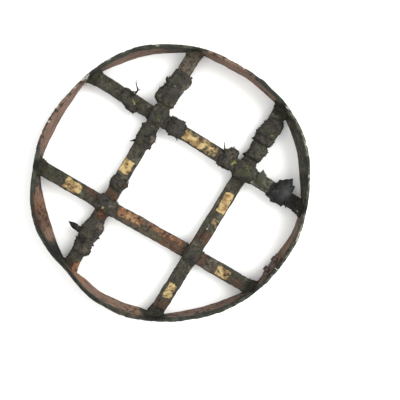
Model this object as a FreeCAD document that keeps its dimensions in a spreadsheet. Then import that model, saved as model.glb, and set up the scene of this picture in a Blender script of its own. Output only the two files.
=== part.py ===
"""A round lattice hoop: a flat band bent round, with four flat bars woven across it.

The band stands on its rear edge, so Z is its depth and the origin is the middle of that edge.
X runs along the two cross bars and Y along the two uprights. All sizes are in millimetres.
"""
import FreeCAD, Part
import math
import os
import Sketcher
from FreeCAD import Placement, Rotation, Vector

doc = FreeCAD.newDocument("lattice_hoop")
sheet = doc.addObject("Spreadsheet::Sheet", "sizes")

# ---------------------------------------------------------------- driving sizes
SIZES = [
    # the band
    ("front_radius", 132.0),          # outside of the round front edge
    ("wall", 3.2),
    ("band_depth", 25.0),
    ("rear_corner_push", 2.2),        # how far a bar end pushes the rear edge out
    ("rear_shoulder_push", 0.9),
    ("rear_flat_push", -2.2),         # half way between two bars the rear edge is drawn in
    ("shoulder_angle", 6.0),          # degrees each side of a bar end
    ("seam_angle", -8.0),             # where the band's two ends meet
    ("seam_gap", 0.6),
    # the bars
    ("bar_width", 14.0),
    ("bar_thick", 5.2),
    ("bar_height", 10.0),             # middle of the weave above the rear edge
    ("weave_flat", 13.0),             # half length of the level stretch at a crossing
    ("left_upright_offset", -43.7),
    ("left_upright_skew", 0.57),
    ("right_upright_offset", 54.5),
    ("right_upright_skew", -0.83),
    ("upper_cross_offset", 48.1),
    ("upper_cross_skew", -1.26),
    ("lower_cross_offset", -50.0),
    ("lower_cross_skew", 1.23),
    # the fasteners
    ("pin_radius", 1.3),
    ("pin_bite", 16.0),               # how far a pin runs into its bar
    ("rivet_radius", 1.6),
    ("rivet_head_radius", 3.2),
    ("rivet_head_thick", 1.3),
    ("plate_thick", 1.6),
    ("plate_length", 24.0),
    ("plate_width", 17.0),
    ("plate_rivet_pitch_along", 12.0),
    ("plate_rivet_pitch_across", 9.0),
    # filler round each bar end: cover at the bar's sides and over its faces
    ("putty_side", 3.5),
    ("putty_over", 3.6),
    ("putty_reach", 7.0),
    # lumps over the crossings: cover beyond the bars along X, along Y and along Z
    ("upper_left_lump_x", 4.5),
    ("upper_left_lump_y", 4.0),
    ("upper_right_lump_x", 5.5),
    ("upper_right_lump_y", 5.0),
    ("lower_left_lump_x", 6.5),
    ("lower_left_lump_y", 3.5),
    ("lower_right_lump_x", 4.0),
    ("lower_right_lump_y", 3.5),
    ("crossing_lump_over", 3.2),
    # the leaf bundle and the flap on the upper cross bar
    ("bundle_place", 0.62),           # share of the bar's last free stretch
    ("bundle_shift", 2.0),
    ("bundle_core", 19.0),
    ("bundle_core_over", 3.9),
    ("bundle_leaf_long", 16.0),
    ("bundle_leaf_wide", 12.0),
    ("bundle_leaf_thick", 3.4),
    ("bundle_leaf_tilt", 18.0),
    ("flap_place", 0.12),
    ("flap_long", 13.0),
    ("flap_wide", 10.0),
    ("flap_thick", 3.0),
    ("flap_tilt", 24.0),
    ("flap_turn", 63.0),
    ("trim_gap", 0.4),                # kept free between neighbouring growths
]

# growths wrapped round a bar: the bar, which of its free stretches they sit on, the shares of that
# stretch where they start and end, their cover at the bar's sides and over its faces, and a shift
WRAPS = [
    ("left_upright_top_knot", "left_upright", 2, 0.01, 0.69, 3.8, 3.2, 0.0),
    ("left_upright_swelling", "left_upright", 1, 0.72, 0.99, 2.8, 3.1, 0.2),
    ("left_upright_collar", "left_upright", 1, 0.09, 0.235, 2.7, 3.1, 0.3),
    ("left_upright_foot", "left_upright", 0, 0.19, 0.955, 3.5, 3.1, 0.6),
    ("upper_cross_twig_knot", "upper_cross", 0, 0.45, 0.85, 2.7, 3.1, 0.0),
    ("upper_cross_inner_knot", "upper_cross", 1, 0.005, 0.245, 3.2, 3.3, 0.6),
    ("upper_cross_mid_knot", "upper_cross", 1, 0.81, 0.995, 4.0, 3.5, 1.0),
    ("right_upright_sleeve", "right_upright", 2, 0.375, 0.93, 2.9, 3.2, 0.2),
    ("right_upright_lump", "right_upright", 2, 0.04, 0.35, 2.9, 3.2, 0.2),
]

# how a growth swells and thins from one end to the other: place along it, share of its section
SWELLING = [(-0.5, 0.9), (-0.27, 1.0), (0.0, 0.94), (0.25, 1.0), (0.5, 0.89)]
THINNING = [(-0.5, 1.18), (0.0, 1.0), (0.5, 0.88)]
MOUNDING = [(-0.5, 0.62), (-0.3, 0.93), (0.0, 1.0), (0.3, 0.92), (0.5, 0.58)]

# twigs and thorns: what they grow on, then their root from its middle along the bar, across it and
# up from the bar's face, the direction from the bar's own, the climb, the length and the root radius
TWIGS = [
    ("upper_cross_twig", "upper_cross_twig_knot", 1.4, 0.4, -1.1, 100.0, 14.0, 12.5, 1.1),
    ("upper_cross_twig_tip", "upper_cross_twig_knot", -0.6, 11.9, 1.8, 129.0, 24.0, 8.2, 0.8),
    ("top_knot_thorn", "left_upright_top_knot", -2.1, 5.0, -2.3, 46.0, 18.0, 12.0, 2.0),
    ("swelling_thorn", "left_upright_swelling", -6.0, 4.0, -2.6, 128.0, 10.0, 11.5, 1.3),
    ("foot_spike", "left_upright_foot", -1.4, 3.5, -1.8, 84.0, 12.0, 19.0, 2.4),
    ("mid_knot_bristle", "upper_cross_mid_knot", -5.4, 1.8, -0.6, 113.0, 20.0, 13.0, 0.9),
    ("bundle_hook_twig", "leaf_bundle", 6.0, -5.0, 0.9, 323.0, 8.0, 11.0, 1.0),
]

BARS = ("left_upright", "right_upright", "upper_cross", "lower_cross")
CROSSINGS = [
    # name, the bar in front, the bar behind
    ("upper_left", "left_upright", "upper_cross"),
    ("upper_right", "upper_cross", "right_upright"),
    ("lower_left", "lower_cross", "left_upright"),
    ("lower_right", "right_upright", "lower_cross"),
]
GROWTH_SIZES = ("starts", "ends", "side", "over", "shift")
TWIG_SIZES = ("along", "across", "up", "turn", "climb", "length", "radius")
END_NAMES = {"upright": ("foot", "top"), "cross": ("left", "right")}
LEAF_COUNT = 7


def fill_sheet():
    """Write every size into the sheet under its own name."""
    rows = list(SIZES)
    for name, bar, stretch, *values in WRAPS:
        rows += [(name + "_" + word, value) for word, value in zip(GROWTH_SIZES, values)]
    for name, host, *values in TWIGS:
        rows += [(name + "_" + word, value) for word, value in zip(TWIG_SIZES, values)]
    for number, (name, value) in enumerate(rows, start=1):
        sheet.set("A%d" % number, name)
        sheet.set("B%d" % number, str(value))
        sheet.setAlias("B%d" % number, name)
    doc.recompute()
    return len(rows)


def size(name):
    """The value of one size in the sheet."""
    return float(sheet.get(name))


def add_size(name, value):
    """Write a worked-out size below the driving ones, so features can be bound to it."""
    global last_row
    last_row += 1
    sheet.set("A%d" % last_row, name)
    sheet.set("B%d" % last_row, repr(round(value, 6)))
    sheet.setAlias("B%d" % last_row, name)


def bind(feature, **formulas):
    """Tie properties of a feature to the sheet."""
    for prop, formula in formulas.items():
        feature.setExpression(prop, formula)


def turned(angle, base=Vector()):
    """A placement turned about Z."""
    return Placement(base, Rotation(Vector(0, 0, 1), angle))


# ---------------------------------------------------------------- where the bars run
def bar_frame(bar):
    """The placement of a bar: its own X runs along it, and its Z is up."""
    offset = size(bar + "_offset")
    skew = size(bar + "_skew")
    if bar.endswith("upright"):
        return turned(90 + skew, Vector(offset, 0, size("bar_height")))
    return turned(skew, Vector(0, offset, size("bar_height")))


def crossing_point(first, second):
    """Where two bars' middle lines cross, seen from above."""
    one, other = bar_frame(first), bar_frame(second)
    along, across = one.Rotation.multVec(Vector(1, 0, 0)), other.Rotation.multVec(Vector(0, 1, 0))
    reach = (other.Base - one.Base).dot(across) / along.dot(across)
    return one.Base + along * reach


def station(bar, point):
    """How far along a bar a point lies."""
    return bar_frame(bar).inverse().multVec(point).x


def end_stations(bar):
    """Where a bar's middle line meets the inside of the band, at its two ends."""
    frame = bar_frame(bar)
    middle = frame.inverse().multVec(Vector(0, 0, frame.Base.z))
    half = math.sqrt(band_middle_radius() ** 2 - middle.y ** 2)
    return middle.x - half, middle.x + half


def band_middle_radius():
    """The inside of the band at a bar end, at the height of the weave."""
    share = size("bar_height") / size("band_depth")
    push = size("rear_corner_push") * (1 - share)
    return size("front_radius") + push - size("wall")


def weave(bar):
    """The bar's crossings in order: the station of each, the bar's side there and its name."""
    crossings = []
    for name, front, behind in CROSSINGS:
        if bar in (front, behind):
            point = crossing_point(front, behind)
            crossings.append((station(bar, point), 1 if bar == front else -1, name))
    return sorted(crossings)


def lift(bar, at):
    """How far the bar's middle line is above or below the weave's middle at one station."""
    rise, level = size("bar_thick") / 2, size("weave_flat")
    start, stop = end_stations(bar)
    marks = [(start, 0.0)]
    for place, side, crossing in weave(bar):
        marks += [(place - level, side * rise), (place + level, side * rise)]
    marks.append((stop, 0.0))
    for (left, low), (right, high) in zip(marks, marks[1:]):
        if left <= at <= right:
            return low + (high - low) * (at - left) / (right - left)
    return 0.0


def lump_reach(bar, crossing):
    """How far along a bar the lump over one of its crossings reaches, with the gap left free."""
    letter = "y" if bar.endswith("upright") else "x"
    cover = size("%s_lump_%s" % (crossing, letter))
    return size("bar_width") / 2 + cover + size("trim_gap")


def free_stretch(bar, number):
    """The stations between which a bar is free: from filler to lump, lump to lump, or lump to filler."""
    filler = size("putty_reach") + size("trim_gap")
    start, stop = end_stations(bar)
    stops = [start + filler]
    for place, side, crossing in weave(bar):
        reach = lump_reach(bar, crossing)
        stops += [place - reach, place + reach]
    stops.append(stop - filler)
    return stops[2 * number:2 * number + 2]


def place_on(bar, number, share):
    """The station at a share of one of a bar's free stretches."""
    low, high = free_stretch(bar, number)
    return low + (high - low) * share


def point_on(bar, at, shift=0.0):
    """A point of the bar's middle line in the whole object's frame, moved sideways by shift."""
    return bar_frame(bar).multVec(Vector(at, shift, lift(bar, at)))


# ---------------------------------------------------------------- the band
def joint_angles():
    """The directions of the eight bar ends from the hoop's middle, in order."""
    angles = []
    for bar in BARS:
        for at in end_stations(bar):
            point = point_on(bar, at)
            angles.append(math.degrees(math.atan2(point.y, point.x)))
    return sorted(angles)


def on_circle(radius, angle, height):
    """A point at a radius and an angle."""
    turn = math.radians(angle)
    return Vector(radius * math.cos(turn), radius * math.sin(turn), height)


def band_outline(corner, shoulder, flat, height):
    """A closed outline of arcs: a short one round each bar end and a long one between."""
    angles, side = joint_angles(), size("shoulder_angle")
    edges = []
    for here, following in zip(angles, angles[1:] + [angles[0] + 360]):
        stops = [(shoulder, here - side), (corner, here), (shoulder, here + side)]
        stops += [(flat, (here + following) / 2), (shoulder, following - side)]
        points = [on_circle(radius, angle, height) for radius, angle in stops]
        edges.append(Part.Arc(*points[:3]).toShape())
        edges.append(Part.Arc(*points[2:]).toShape())
    return Part.Wire(edges)


def band_form(name, inset):
    """A solid bounded by the band's outside, taken in by a distance."""
    radius = size("front_radius") - inset
    rear_sizes = [radius + size("rear_%s_push" % word) for word in ("corner", "shoulder", "flat")]
    front_sizes = [radius] * 3
    rear = band_outline(*rear_sizes, 0.0)
    front = band_outline(*front_sizes, size("band_depth"))
    form = doc.addObject("Part::Feature", name)
    form.Shape = Part.makeLoft([rear, front], True, True)
    return form


# ---------------------------------------------------------------- features
def cut(name, base, tools):
    """The base with every tool taken off it."""
    feature = doc.addObject("Part::Cut", name)
    feature.Base = base
    feature.Tool = tools[0] if len(tools) == 1 else joined(name + "_tools", tools)
    return feature


def joined(name, shapes):
    """Several features as one."""
    feature = doc.addObject("Part::MultiFuse", name)
    feature.Shapes = shapes
    return feature


def common(name, base, tool):
    """What two features share."""
    feature = doc.addObject("Part::Common", name)
    feature.Base = base
    feature.Tool = tool
    return feature


def cylinder(name, radius, length, placement):
    """A cylinder along its placement's own Z."""
    feature = doc.addObject("Part::Cylinder", name)
    bind(feature, Radius=radius, Height=length)
    feature.Placement = placement
    return feature


def outline_sketch(body, role, corners):
    """A closed outline of straight lines in one of the body's planes, tied to the sheet."""
    sketch = body.newObject("Sketcher::SketchObject", body.Name + "_outline")
    plane = [feature for feature in body.Origin.OriginFeatures if feature.Role == role][0]
    sketch.AttachmentSupport = [(plane, "")]
    sketch.MapMode = "FlatFace"
    points = [Vector(size(across), size(up), 0) for across, up in corners]
    for start, end in zip(points, points[1:] + points[:1]):
        sketch.addGeometry(Part.LineSegment(start, end), False)
    for number in range(len(points)):
        following = (number + 1) % len(points)
        sketch.addConstraint(Sketcher.Constraint("Coincident", number, 2, following, 1))
    for number, names in enumerate(corners):
        for kind, name in zip(("DistanceX", "DistanceY"), names):
            rule = Sketcher.Constraint(kind, -1, 1, number, 1, size(name))
            place = sketch.addConstraint(rule)
            sketch.setExpression("Constraints[%d]" % place, "sizes." + name)
    return sketch


def bar_blank(bar):
    """A bar longer than the hoop: its woven side outline, padded to its width."""
    start, stop = end_stations(bar)
    over = size("wall") + size("bar_width")
    names, levels = [], []
    marks = [(start - over, 0)]
    for place, side, crossing in weave(bar):
        marks += [(place - size("weave_flat"), side), (place + size("weave_flat"), side)]
    marks.append((stop + over, 0))
    for number, (place, side) in enumerate(marks):
        names.append("%s_station_%s" % (bar, "abcdef"[number]))
        levels.append({1: "front", 0: "middle", -1: "behind"}[side])
        add_size(names[-1], place)
    doc.recompute()
    top = [(name, level + "_top") for name, level in zip(names, levels)]
    under = [(name, level + "_under") for name, level in zip(names, levels)]
    body = doc.addObject("PartDesign::Body", bar + "_blank")
    sketch = outline_sketch(body, "XZ_Plane", under + top[::-1])
    pad = body.newObject("PartDesign::Pad", bar + "_pad")
    pad.Profile = sketch
    pad.SideType = "Symmetric"
    bind(pad, Length="sizes.bar_width")
    body.Tip = pad
    body.Placement = bar_frame(bar)
    return body


def along_bar(bar, at, shift=0.0):
    """A placement on a bar whose own Z runs along the bar, X across it and Y up."""
    frame = bar_frame(bar)
    turn = Rotation(Vector(0, 1, 0), Vector(0, 0, 1), Vector(1, 0, 0))
    return Placement(point_on(bar, at, shift), frame.Rotation.multiply(turn))


def lofted(name, half_long, half_short, placements, profile):
    """A solid through ovals: each has its own placement and its share of the two half sizes."""
    ovals = []
    for number, (placement, (place, share)) in enumerate(zip(placements, profile)):
        oval = doc.addObject("Part::Ellipse", "%s_oval_%d" % (name, number))
        bind(oval, MajorRadius="(%s) * %g" % (half_long, share))
        bind(oval, MinorRadius="(%s) * %g" % (half_short, share))
        oval.Placement = placement
        ovals.append(oval)
    form = doc.addObject("Part::Loft", name + "_form")
    form.Sections = ovals
    form.Solid = True
    form.Ruled = False
    return form


def wrapped(name, bar, middle, length, shift, side, over, profile):
    """A growth round a bar: ovals along it that cover its sides and its faces."""
    placements = [along_bar(bar, middle + place * length, shift) for place, share in profile]
    half_long = "sizes.bar_width / 2 + sizes." + side
    half_short = "sizes.bar_thick / 2 + sizes." + over
    return lofted(name, half_long, half_short, placements, profile)


def mound(name, centre, cover_x, cover_y, height):
    """A lump over a crossing: level ovals stacked through both bars."""
    wider = "sizes.bar_width / 2 + sizes." + cover_x
    narrower = "sizes.bar_width / 2 + sizes." + cover_y
    placements = [Placement(centre + Vector(0, 0, place * height), Rotation()) for place, share in MOUNDING]
    return lofted(name, wider, narrower, placements, MOUNDING)


def tapered(name, placement, long, wide, thick, share):
    """A straight four-sided form along its placement's Y that narrows to a share of its root."""
    form = doc.addObject("Part::Wedge", name)
    bind(form, Ymin="0", Ymax=long, Xmin=wide + " / -2", Xmax=wide + " / 2")
    bind(form, X2min="%s / -2 * %g" % (wide, share), X2max="%s / 2 * %g" % (wide, share))
    bind(form, Zmin=thick + " / -2", Zmax=thick + " / 2")
    bind(form, Z2min="%s / -2 * %g" % (thick, share), Z2max="%s / 2 * %g" % (thick, share))
    form.Placement = placement
    return form


def leaf(name, prefix, root, turn):
    """A flat growth that leaves its root in one direction, climbs and narrows to a blunt tip."""
    tilt = Rotation(Vector(1, 0, 0), size(prefix + "_tilt"))
    rotation = Rotation(Vector(0, 0, 1), turn - 90).multiply(tilt)
    sides = ["sizes.%s_%s" % (prefix, word) for word in ("long", "wide", "thick")]
    return tapered(name, Placement(root, rotation), *sides, 0.5)


def twig_form(name, bar, middle):
    """A thin spike from its root to its tip, measured from the middle of what it grows on."""
    root = point_on(bar, middle + size(name + "_along"), size(name + "_across"))
    root.z += size("bar_thick") / 2 + size(name + "_up")
    turn = Rotation(Vector(0, 0, 1), size(name + "_turn") - 90)
    climb = Rotation(Vector(1, 0, 0), size(name + "_climb"))
    rotation = bar_frame(bar).Rotation.multiply(turn).multiply(climb)
    width = "2 * sizes.%s_radius" % name
    return tapered(name + "_form", Placement(root, rotation), "sizes.%s_length" % name, width, width, 0.35)


# ---------------------------------------------------------------- build
last_row = fill_sheet()
rise = size("bar_thick") / 2
for level_name, side_of_weave in (("front", 1), ("middle", 0), ("behind", -1)):
    add_size(level_name + "_top", side_of_weave * rise + rise)
    add_size(level_name + "_under", side_of_weave * rise - rise)
doc.recompute()
nodes = {}

outer_form = band_form("outer_form", 0.0)
inner_form = band_form("inner_form", size("wall"))
plate_form = band_form("plate_form", size("wall") + size("plate_thick"))
band_ring = cut("band_ring", outer_form, [inner_form])
blanks = {bar: bar_blank(bar) for bar in BARS}

# pins through the band into the bar ends, finished flush with the outside
pin_forms = []
for bar in BARS:
    for end, outwards in zip(end_stations(bar), (-1, 1)):
        place = end - outwards * size("pin_bite")
        placement = along_bar(bar, place)
        placement.Base.z = size("bar_height")
        if outwards < 0:
            placement.Rotation = placement.Rotation.multiply(Rotation(Vector(1, 0, 0), 180))
        pin_name = "pin_%d" % len(pin_forms)
        pin_length = "sizes.pin_bite + 3 * sizes.wall"
        pin_forms.append(cylinder(pin_name, "sizes.pin_radius", pin_length, placement))
nodes["bar_end_pins"] = common("bar_end_pins", joined("pin_forms", pin_forms), outer_form)

# rivets through the crossings, with a flat head on each side
rivet_forms = []
for crossing, front, behind in CROSSINGS:
    centre = crossing_point(front, behind)
    head = "sizes.rivet_head_thick"
    shank = "2 * sizes.bar_thick"
    foot = centre - Vector(0, 0, size("bar_thick"))
    rivet_forms.append(cylinder(crossing + "_shank", "sizes.rivet_radius", shank, Placement(foot, Rotation())))
    for word, base in (("rear", foot.z - size("rivet_head_thick")), ("front", foot.z + 2 * size("bar_thick"))):
        spot = Placement(Vector(centre.x, centre.y, base), Rotation())
        head_name = "%s_%s_head" % (crossing, word)
        rivet_forms.append(cylinder(head_name, "sizes.rivet_head_radius", head, spot))
nodes["crossing_rivets"] = joined("crossing_rivets", rivet_forms)

# the four bars, trimmed to the inside of the band and drilled for their fasteners
for bar in BARS:
    trimmed = common(bar + "_trimmed", blanks[bar], inner_form)
    fasteners = [nodes["bar_end_pins"], nodes["crossing_rivets"]]
    nodes[bar + "_bar"] = cut(bar + "_bar", trimmed, fasteners)

# the splice: a plate inside the seam with four rivets, heads inside and flush outside
seam = turned(size("seam_angle"))
plate_block = doc.addObject("Part::Box", "plate_block")
bind(plate_block, Length="sizes.front_radius", Width="sizes.plate_length", Height="sizes.plate_width")
corner = Vector(size("front_radius") / 2, -size("plate_length") / 2, 0)
corner.z = (size("band_depth") - size("plate_width")) / 2
plate_block.Placement = seam.multiply(Placement(corner, Rotation()))
plate_shell = cut("plate_shell", inner_form, [plate_form])
plate_blank = common("plate_blank", plate_shell, plate_block)
inside = size("front_radius") + size("rear_flat_push") - size("wall") - size("plate_thick")
outwards_turn = Rotation(Vector(0, 1, 0), 90)
splice_forms = []
for row in (-1, 1):
    for column in (-1, 1):
        across = row * size("plate_rivet_pitch_along") / 2
        height = size("band_depth") / 2 + column * size("plate_rivet_pitch_across") / 2
        label = "splice_%d" % len(splice_forms)
        start = Vector(inside - size("rivet_head_thick"), across, height)
        placement = seam.multiply(Placement(start, outwards_turn))
        splice_forms.append(cylinder(label + "_shank", "sizes.rivet_radius", "3 * sizes.wall", placement))
        splice_head = "sizes.rivet_head_thick + sizes.plate_thick / 2"
        splice_forms.append(cylinder(label + "_head", "sizes.rivet_head_radius * 0.8", splice_head, placement))
splice_whole = common("splice_whole", joined("splice_forms", splice_forms), outer_form)
nodes["splice_rivets"] = splice_whole
nodes["splice_plate"] = cut("splice_plate", plate_blank, [splice_whole])

seam_slot = doc.addObject("Part::Box", "seam_slot")
bind(seam_slot, Length="sizes.front_radius", Width="sizes.seam_gap", Height="2 * sizes.band_depth")
slot_corner = Vector(size("front_radius") / 2, -size("seam_gap") / 2, -size("band_depth") / 2)
seam_slot.Placement = seam.multiply(Placement(slot_corner, Rotation()))
nodes["hoop_band"] = cut("hoop_band", band_ring, [seam_slot, nodes["bar_end_pins"], splice_whole])

# filler round each bar end, up to the inside of the band
fillers = {}
for bar in BARS:
    kind = bar.split("_")[1]
    for end, outwards, word in zip(end_stations(bar), (-1, 1), END_NAMES[kind]):
        putty_name = "putty_%s_%s" % (bar, word)
        reach = 2 * size("putty_reach") * -outwards
        form = wrapped(putty_name, bar, end, reach, 0.0, "putty_side", "putty_over", THINNING)
        hollow = cut(putty_name + "_hollow", form, [blanks[bar], nodes["bar_end_pins"]])
        nodes[putty_name] = common(putty_name, hollow, inner_form)
        fillers[putty_name] = form

# lumps over the crossings
lumps = {}
for crossing, front, behind in CROSSINGS:
    lump_name = crossing + "_crossing_lump"
    covers = ["%s_lump_%s" % (crossing, letter) for letter in "xy"]
    lump_height = 2 * (size("bar_thick") + size("crossing_lump_over"))
    form = mound(lump_name, crossing_point(front, behind), *covers, lump_height)
    nodes[lump_name] = cut(lump_name, form, [blanks[front], blanks[behind], nodes["crossing_rivets"]])
    lumps[crossing] = form

# growths wrapped round the bars
hosts = {}
for name, bar, stretch, *rest in WRAPS:
    start = place_on(bar, stretch, size(name + "_starts"))
    stop = place_on(bar, stretch, size(name + "_ends"))
    covers = (name + "_side", name + "_over")
    middle = (start + stop) / 2
    form = wrapped(name, bar, middle, stop - start, size(name + "_shift"), *covers, SWELLING)
    nodes[name] = cut(name, form, [blanks[bar], nodes["bar_end_pins"]])
    hosts[name] = (bar, middle, [form])

# the leaf bundle and the flap, which stop at whatever they lean on
bundle_station = place_on("upper_cross", 2, size("bundle_place"))
bundle_middle = point_on("upper_cross", bundle_station, size("bundle_shift"))
bundle_half = size("bar_thick") / 2 + size("bundle_core_over")
bundle_core = doc.addObject("Part::Cone", "bundle_core_form")
bind(bundle_core, Radius1="sizes.bundle_core / 2.4", Radius2="sizes.bundle_core / 2")
bind(bundle_core, Height="sizes.bar_thick + 2 * sizes.bundle_core_over")
bundle_core.Placement = Placement(bundle_middle - Vector(0, 0, bundle_half), Rotation())
bundle_forms = [bundle_core]
for number in range(LEAF_COUNT):
    turn = 20 + 360 * number / LEAF_COUNT
    root = bundle_middle + Rotation(Vector(0, 0, 1), turn).multVec(Vector(-2, 0, 1.5))
    bundle_forms.append(leaf("bundle_leaf_%d" % number, "bundle_leaf", root, turn))
bundle_whole = joined("bundle_whole", bundle_forms)
bundle_inside = common("bundle_inside", bundle_whole, inner_form)
leaned_on = [blanks["upper_cross"], lumps["upper_right"], fillers["putty_upper_cross_right"]]
nodes["leaf_bundle"] = cut("leaf_bundle", bundle_inside, leaned_on + [nodes["bar_end_pins"]])
hosts["leaf_bundle"] = ("upper_cross", bundle_station, [bundle_whole, leaned_on[2]])
flap_station = place_on("upper_cross", 2, size("flap_place"))
flap_root = point_on("upper_cross", flap_station, size("bar_width") / 2 - 3)
flap_root.z += size("bar_thick") / 2
flap_form = leaf("flap_form", "flap", flap_root, size("flap_turn"))
nodes["upper_cross_flap"] = cut("upper_cross_flap", flap_form, leaned_on[:2] + [bundle_whole])

# twigs and thorns, each standing on what it grows from
twigs_on = {}
for name, host, *rest in TWIGS:
    bar, middle, grown_from = hosts[host]
    twigs_on.setdefault(host, []).append((name, twig_form(name, bar, middle)))
for host, twigs in twigs_on.items():
    bar, middle, grown_from = hosts[host]
    name = twigs[0][0]
    forms = [form for twig_name, form in twigs]
    whole = forms[0] if len(forms) == 1 else joined(name + "_whole", forms)
    nodes[name] = cut(name, whole, [blanks[bar]] + grown_from)

doc.recompute()

# ---------------------------------------------------------------- check and write
for feature in doc.Objects:
    if "Invalid" in feature.State or "Error" in feature.State:
        raise RuntimeError("%s did not compute: %s" % (feature.Name, feature.State))
os.makedirs("parts", exist_ok=True)
for name, feature in nodes.items():
    feature.Label = name
    shape = feature.Shape
    if shape.isNull() or not shape.isValid() or not shape.Solids:
        raise RuntimeError("%s has no sound solid" % name)
    shape.exportStep("parts/%s.step" % name)
    print("%-28s solids %d  volume %9.1f mm3" % (name, len(shape.Solids), shape.Volume))
print("nodes", len(nodes))
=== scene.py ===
"""Looks for a round lattice hoop: a flat band bent round, with four flat bars woven across it.

The band and bars are thin wood, painted and stained to pass for rusty iron and grown over with
hardened pulp, leaves and twigs. Run as a script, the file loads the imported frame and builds
every piece around it. Sizes in the code are millimetres until a mesh is made.
"""

import math

import bpy
import numpy as np
from bpy.props import FloatProperty, FloatVectorProperty, PointerProperty
from mathutils import Matrix, Vector


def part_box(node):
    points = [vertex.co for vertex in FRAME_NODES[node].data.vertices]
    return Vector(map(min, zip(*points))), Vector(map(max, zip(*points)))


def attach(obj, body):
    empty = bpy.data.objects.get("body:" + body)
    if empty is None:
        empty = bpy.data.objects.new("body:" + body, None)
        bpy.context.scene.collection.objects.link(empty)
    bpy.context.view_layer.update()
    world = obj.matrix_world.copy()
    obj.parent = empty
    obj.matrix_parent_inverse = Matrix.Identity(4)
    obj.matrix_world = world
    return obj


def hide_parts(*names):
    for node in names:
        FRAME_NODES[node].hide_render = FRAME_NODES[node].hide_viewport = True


bl_info = {
    "name": "Overgrown lattice hoop",
    "version": (1, 0, 0),
    "blender": (4, 5, 0),
    "location": "View3D > Sidebar > Hoop",
    "description": "Builds an aged wooden lattice hoop round its packed frame",
    "category": "Object",
}

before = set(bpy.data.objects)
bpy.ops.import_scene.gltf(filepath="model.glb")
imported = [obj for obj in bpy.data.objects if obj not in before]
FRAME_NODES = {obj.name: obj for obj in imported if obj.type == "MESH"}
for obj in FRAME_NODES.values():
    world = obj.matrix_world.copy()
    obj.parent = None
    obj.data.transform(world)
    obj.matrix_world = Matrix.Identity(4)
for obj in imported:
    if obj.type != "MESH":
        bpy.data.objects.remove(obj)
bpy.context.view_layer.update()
MM = 0.001


# ---------------------------------------------------------------- colours
def linear(hex_code, alpha=1.0):
    """A linear colour from an sRGB hex value."""
    values = [int(hex_code[place:place + 2], 16) / 255 for place in (0, 2, 4)]
    curve = [v / 12.92 if v <= 0.04045 else ((v + 0.055) / 1.055) ** 2.4 for v in values]
    return (*curve, alpha)


# ---------------------------------------------------------------- sizes from the frame
def corners_mm(node):
    """A node's lowest and highest corners, in millimetres."""
    low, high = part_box(node)
    return np.array(low) / MM, np.array(high) / MM


def vertices_mm(node):
    """All of a node's vertices, in millimetres."""
    mesh = FRAME_NODES[node].data
    flat = np.zeros(len(mesh.vertices) * 3, np.float32)
    mesh.vertices.foreach_get("co", flat)
    return flat.reshape(-1, 3).astype(float) / MM


BAND_POINTS = vertices_mm("hoop_band")
BAND_DEPTH = float(BAND_POINTS[:, 2].max())
FRONT_EDGE = BAND_POINTS[BAND_POINTS[:, 2] > BAND_DEPTH - 0.01]
FRONT_RADIUS = float(np.hypot(FRONT_EDGE[:, 0], FRONT_EDGE[:, 1]).max())

# bar: the node's name, its direction in degrees from X, and its sides at its two crossings
BARS = {
    "left_upright": (90.57, (-1, 1)),
    "right_upright": (89.17, (1, -1)),
    "upper_cross": (-1.26, (-1, 1)),
    "lower_cross": (1.23, (1, -1)),
}
CROSSINGS = {
    "upper_left": ("left_upright", "upper_cross"),
    "upper_right": ("upper_cross", "right_upright"),
    "lower_left": ("lower_cross", "left_upright"),
    "lower_right": ("right_upright", "lower_cross"),
}
# a bar's section, the band's wall, and how far to each side of a crossing a bar runs level
BAR_WIDTH = 14.0
BAR_THICK = 5.2
WALL = 3.2
LEVEL_REACH = 13.0


class Bar:
    """One bar: its middle, its direction, its half length and how it rides over and under."""

    def __init__(self, name):
        turn, self.sides = BARS[name]
        low, high = corners_mm(name + "_bar")
        self.name = name
        turn = math.radians(turn)
        self.along = np.array([math.cos(turn), math.sin(turn), 0.0])
        self.left = np.array([-math.sin(turn), math.cos(turn), 0.0])
        self.middle = (low + high) / 2
        reach = high - low
        self.half = float(max(reach[0], reach[1])) / 2
        self.marks = None

    def cross(self, other):
        """How far along this bar its middle line meets another bar's."""
        gap = other.middle - self.middle
        return float(gap @ other.left) / float(self.along @ other.left)

    def set_marks(self):
        """The stations and heights between which the bar's middle line runs straight."""
        others = [bar for bar in ALL_BARS.values() if abs(bar.along @ self.along) < 0.5]
        places = sorted(self.cross(other) for other in others)
        stations, heights = [-self.half], [0.0]
        for place, side in zip(places, self.sides):
            stations += [place - LEVEL_REACH, place + LEVEL_REACH]
            heights += [side * BAR_THICK / 2] * 2
        self.marks = (np.array(stations + [self.half]), np.array(heights + [0.0]))

    def lift(self, stations):
        """Height of the middle line: straight runs between marks, eased by a moving average."""
        offsets = np.linspace(-7, 7, 9)
        return np.mean([np.interp(stations + step, *self.marks) for step in offsets], axis=0)

    def points(self, stations, across=0.0, up=0.0):
        """Points at stations along the bar, moved across it and up from its middle line."""
        stations = np.asarray(stations, float)
        base = self.middle + stations[..., None] * self.along
        base = base + np.asarray(across)[..., None] * self.left
        rise = self.lift(stations) + up
        return base + np.stack([np.zeros_like(rise), np.zeros_like(rise), rise], axis=-1)


ALL_BARS = {name: Bar(name) for name in BARS}
for one_bar in ALL_BARS.values():
    one_bar.set_marks()


# ---------------------------------------------------------------- unevenness
def cell_value(cells, seed):
    """A fixed value from -1 to 1 for each whole-numbered cell."""
    mixed = (cells[..., 0] * 374761393 + cells[..., 1] * 668265263 + cells[..., 2] * 362437 + seed * 9973)
    mixed = mixed & 0xFFFFFFFF
    mixed = ((mixed ^ (mixed >> 13)) * 1274126177) & 0xFFFFFFFF
    mixed = mixed ^ (mixed >> 16)
    return mixed / 2147483648.0 - 1.0


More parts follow.
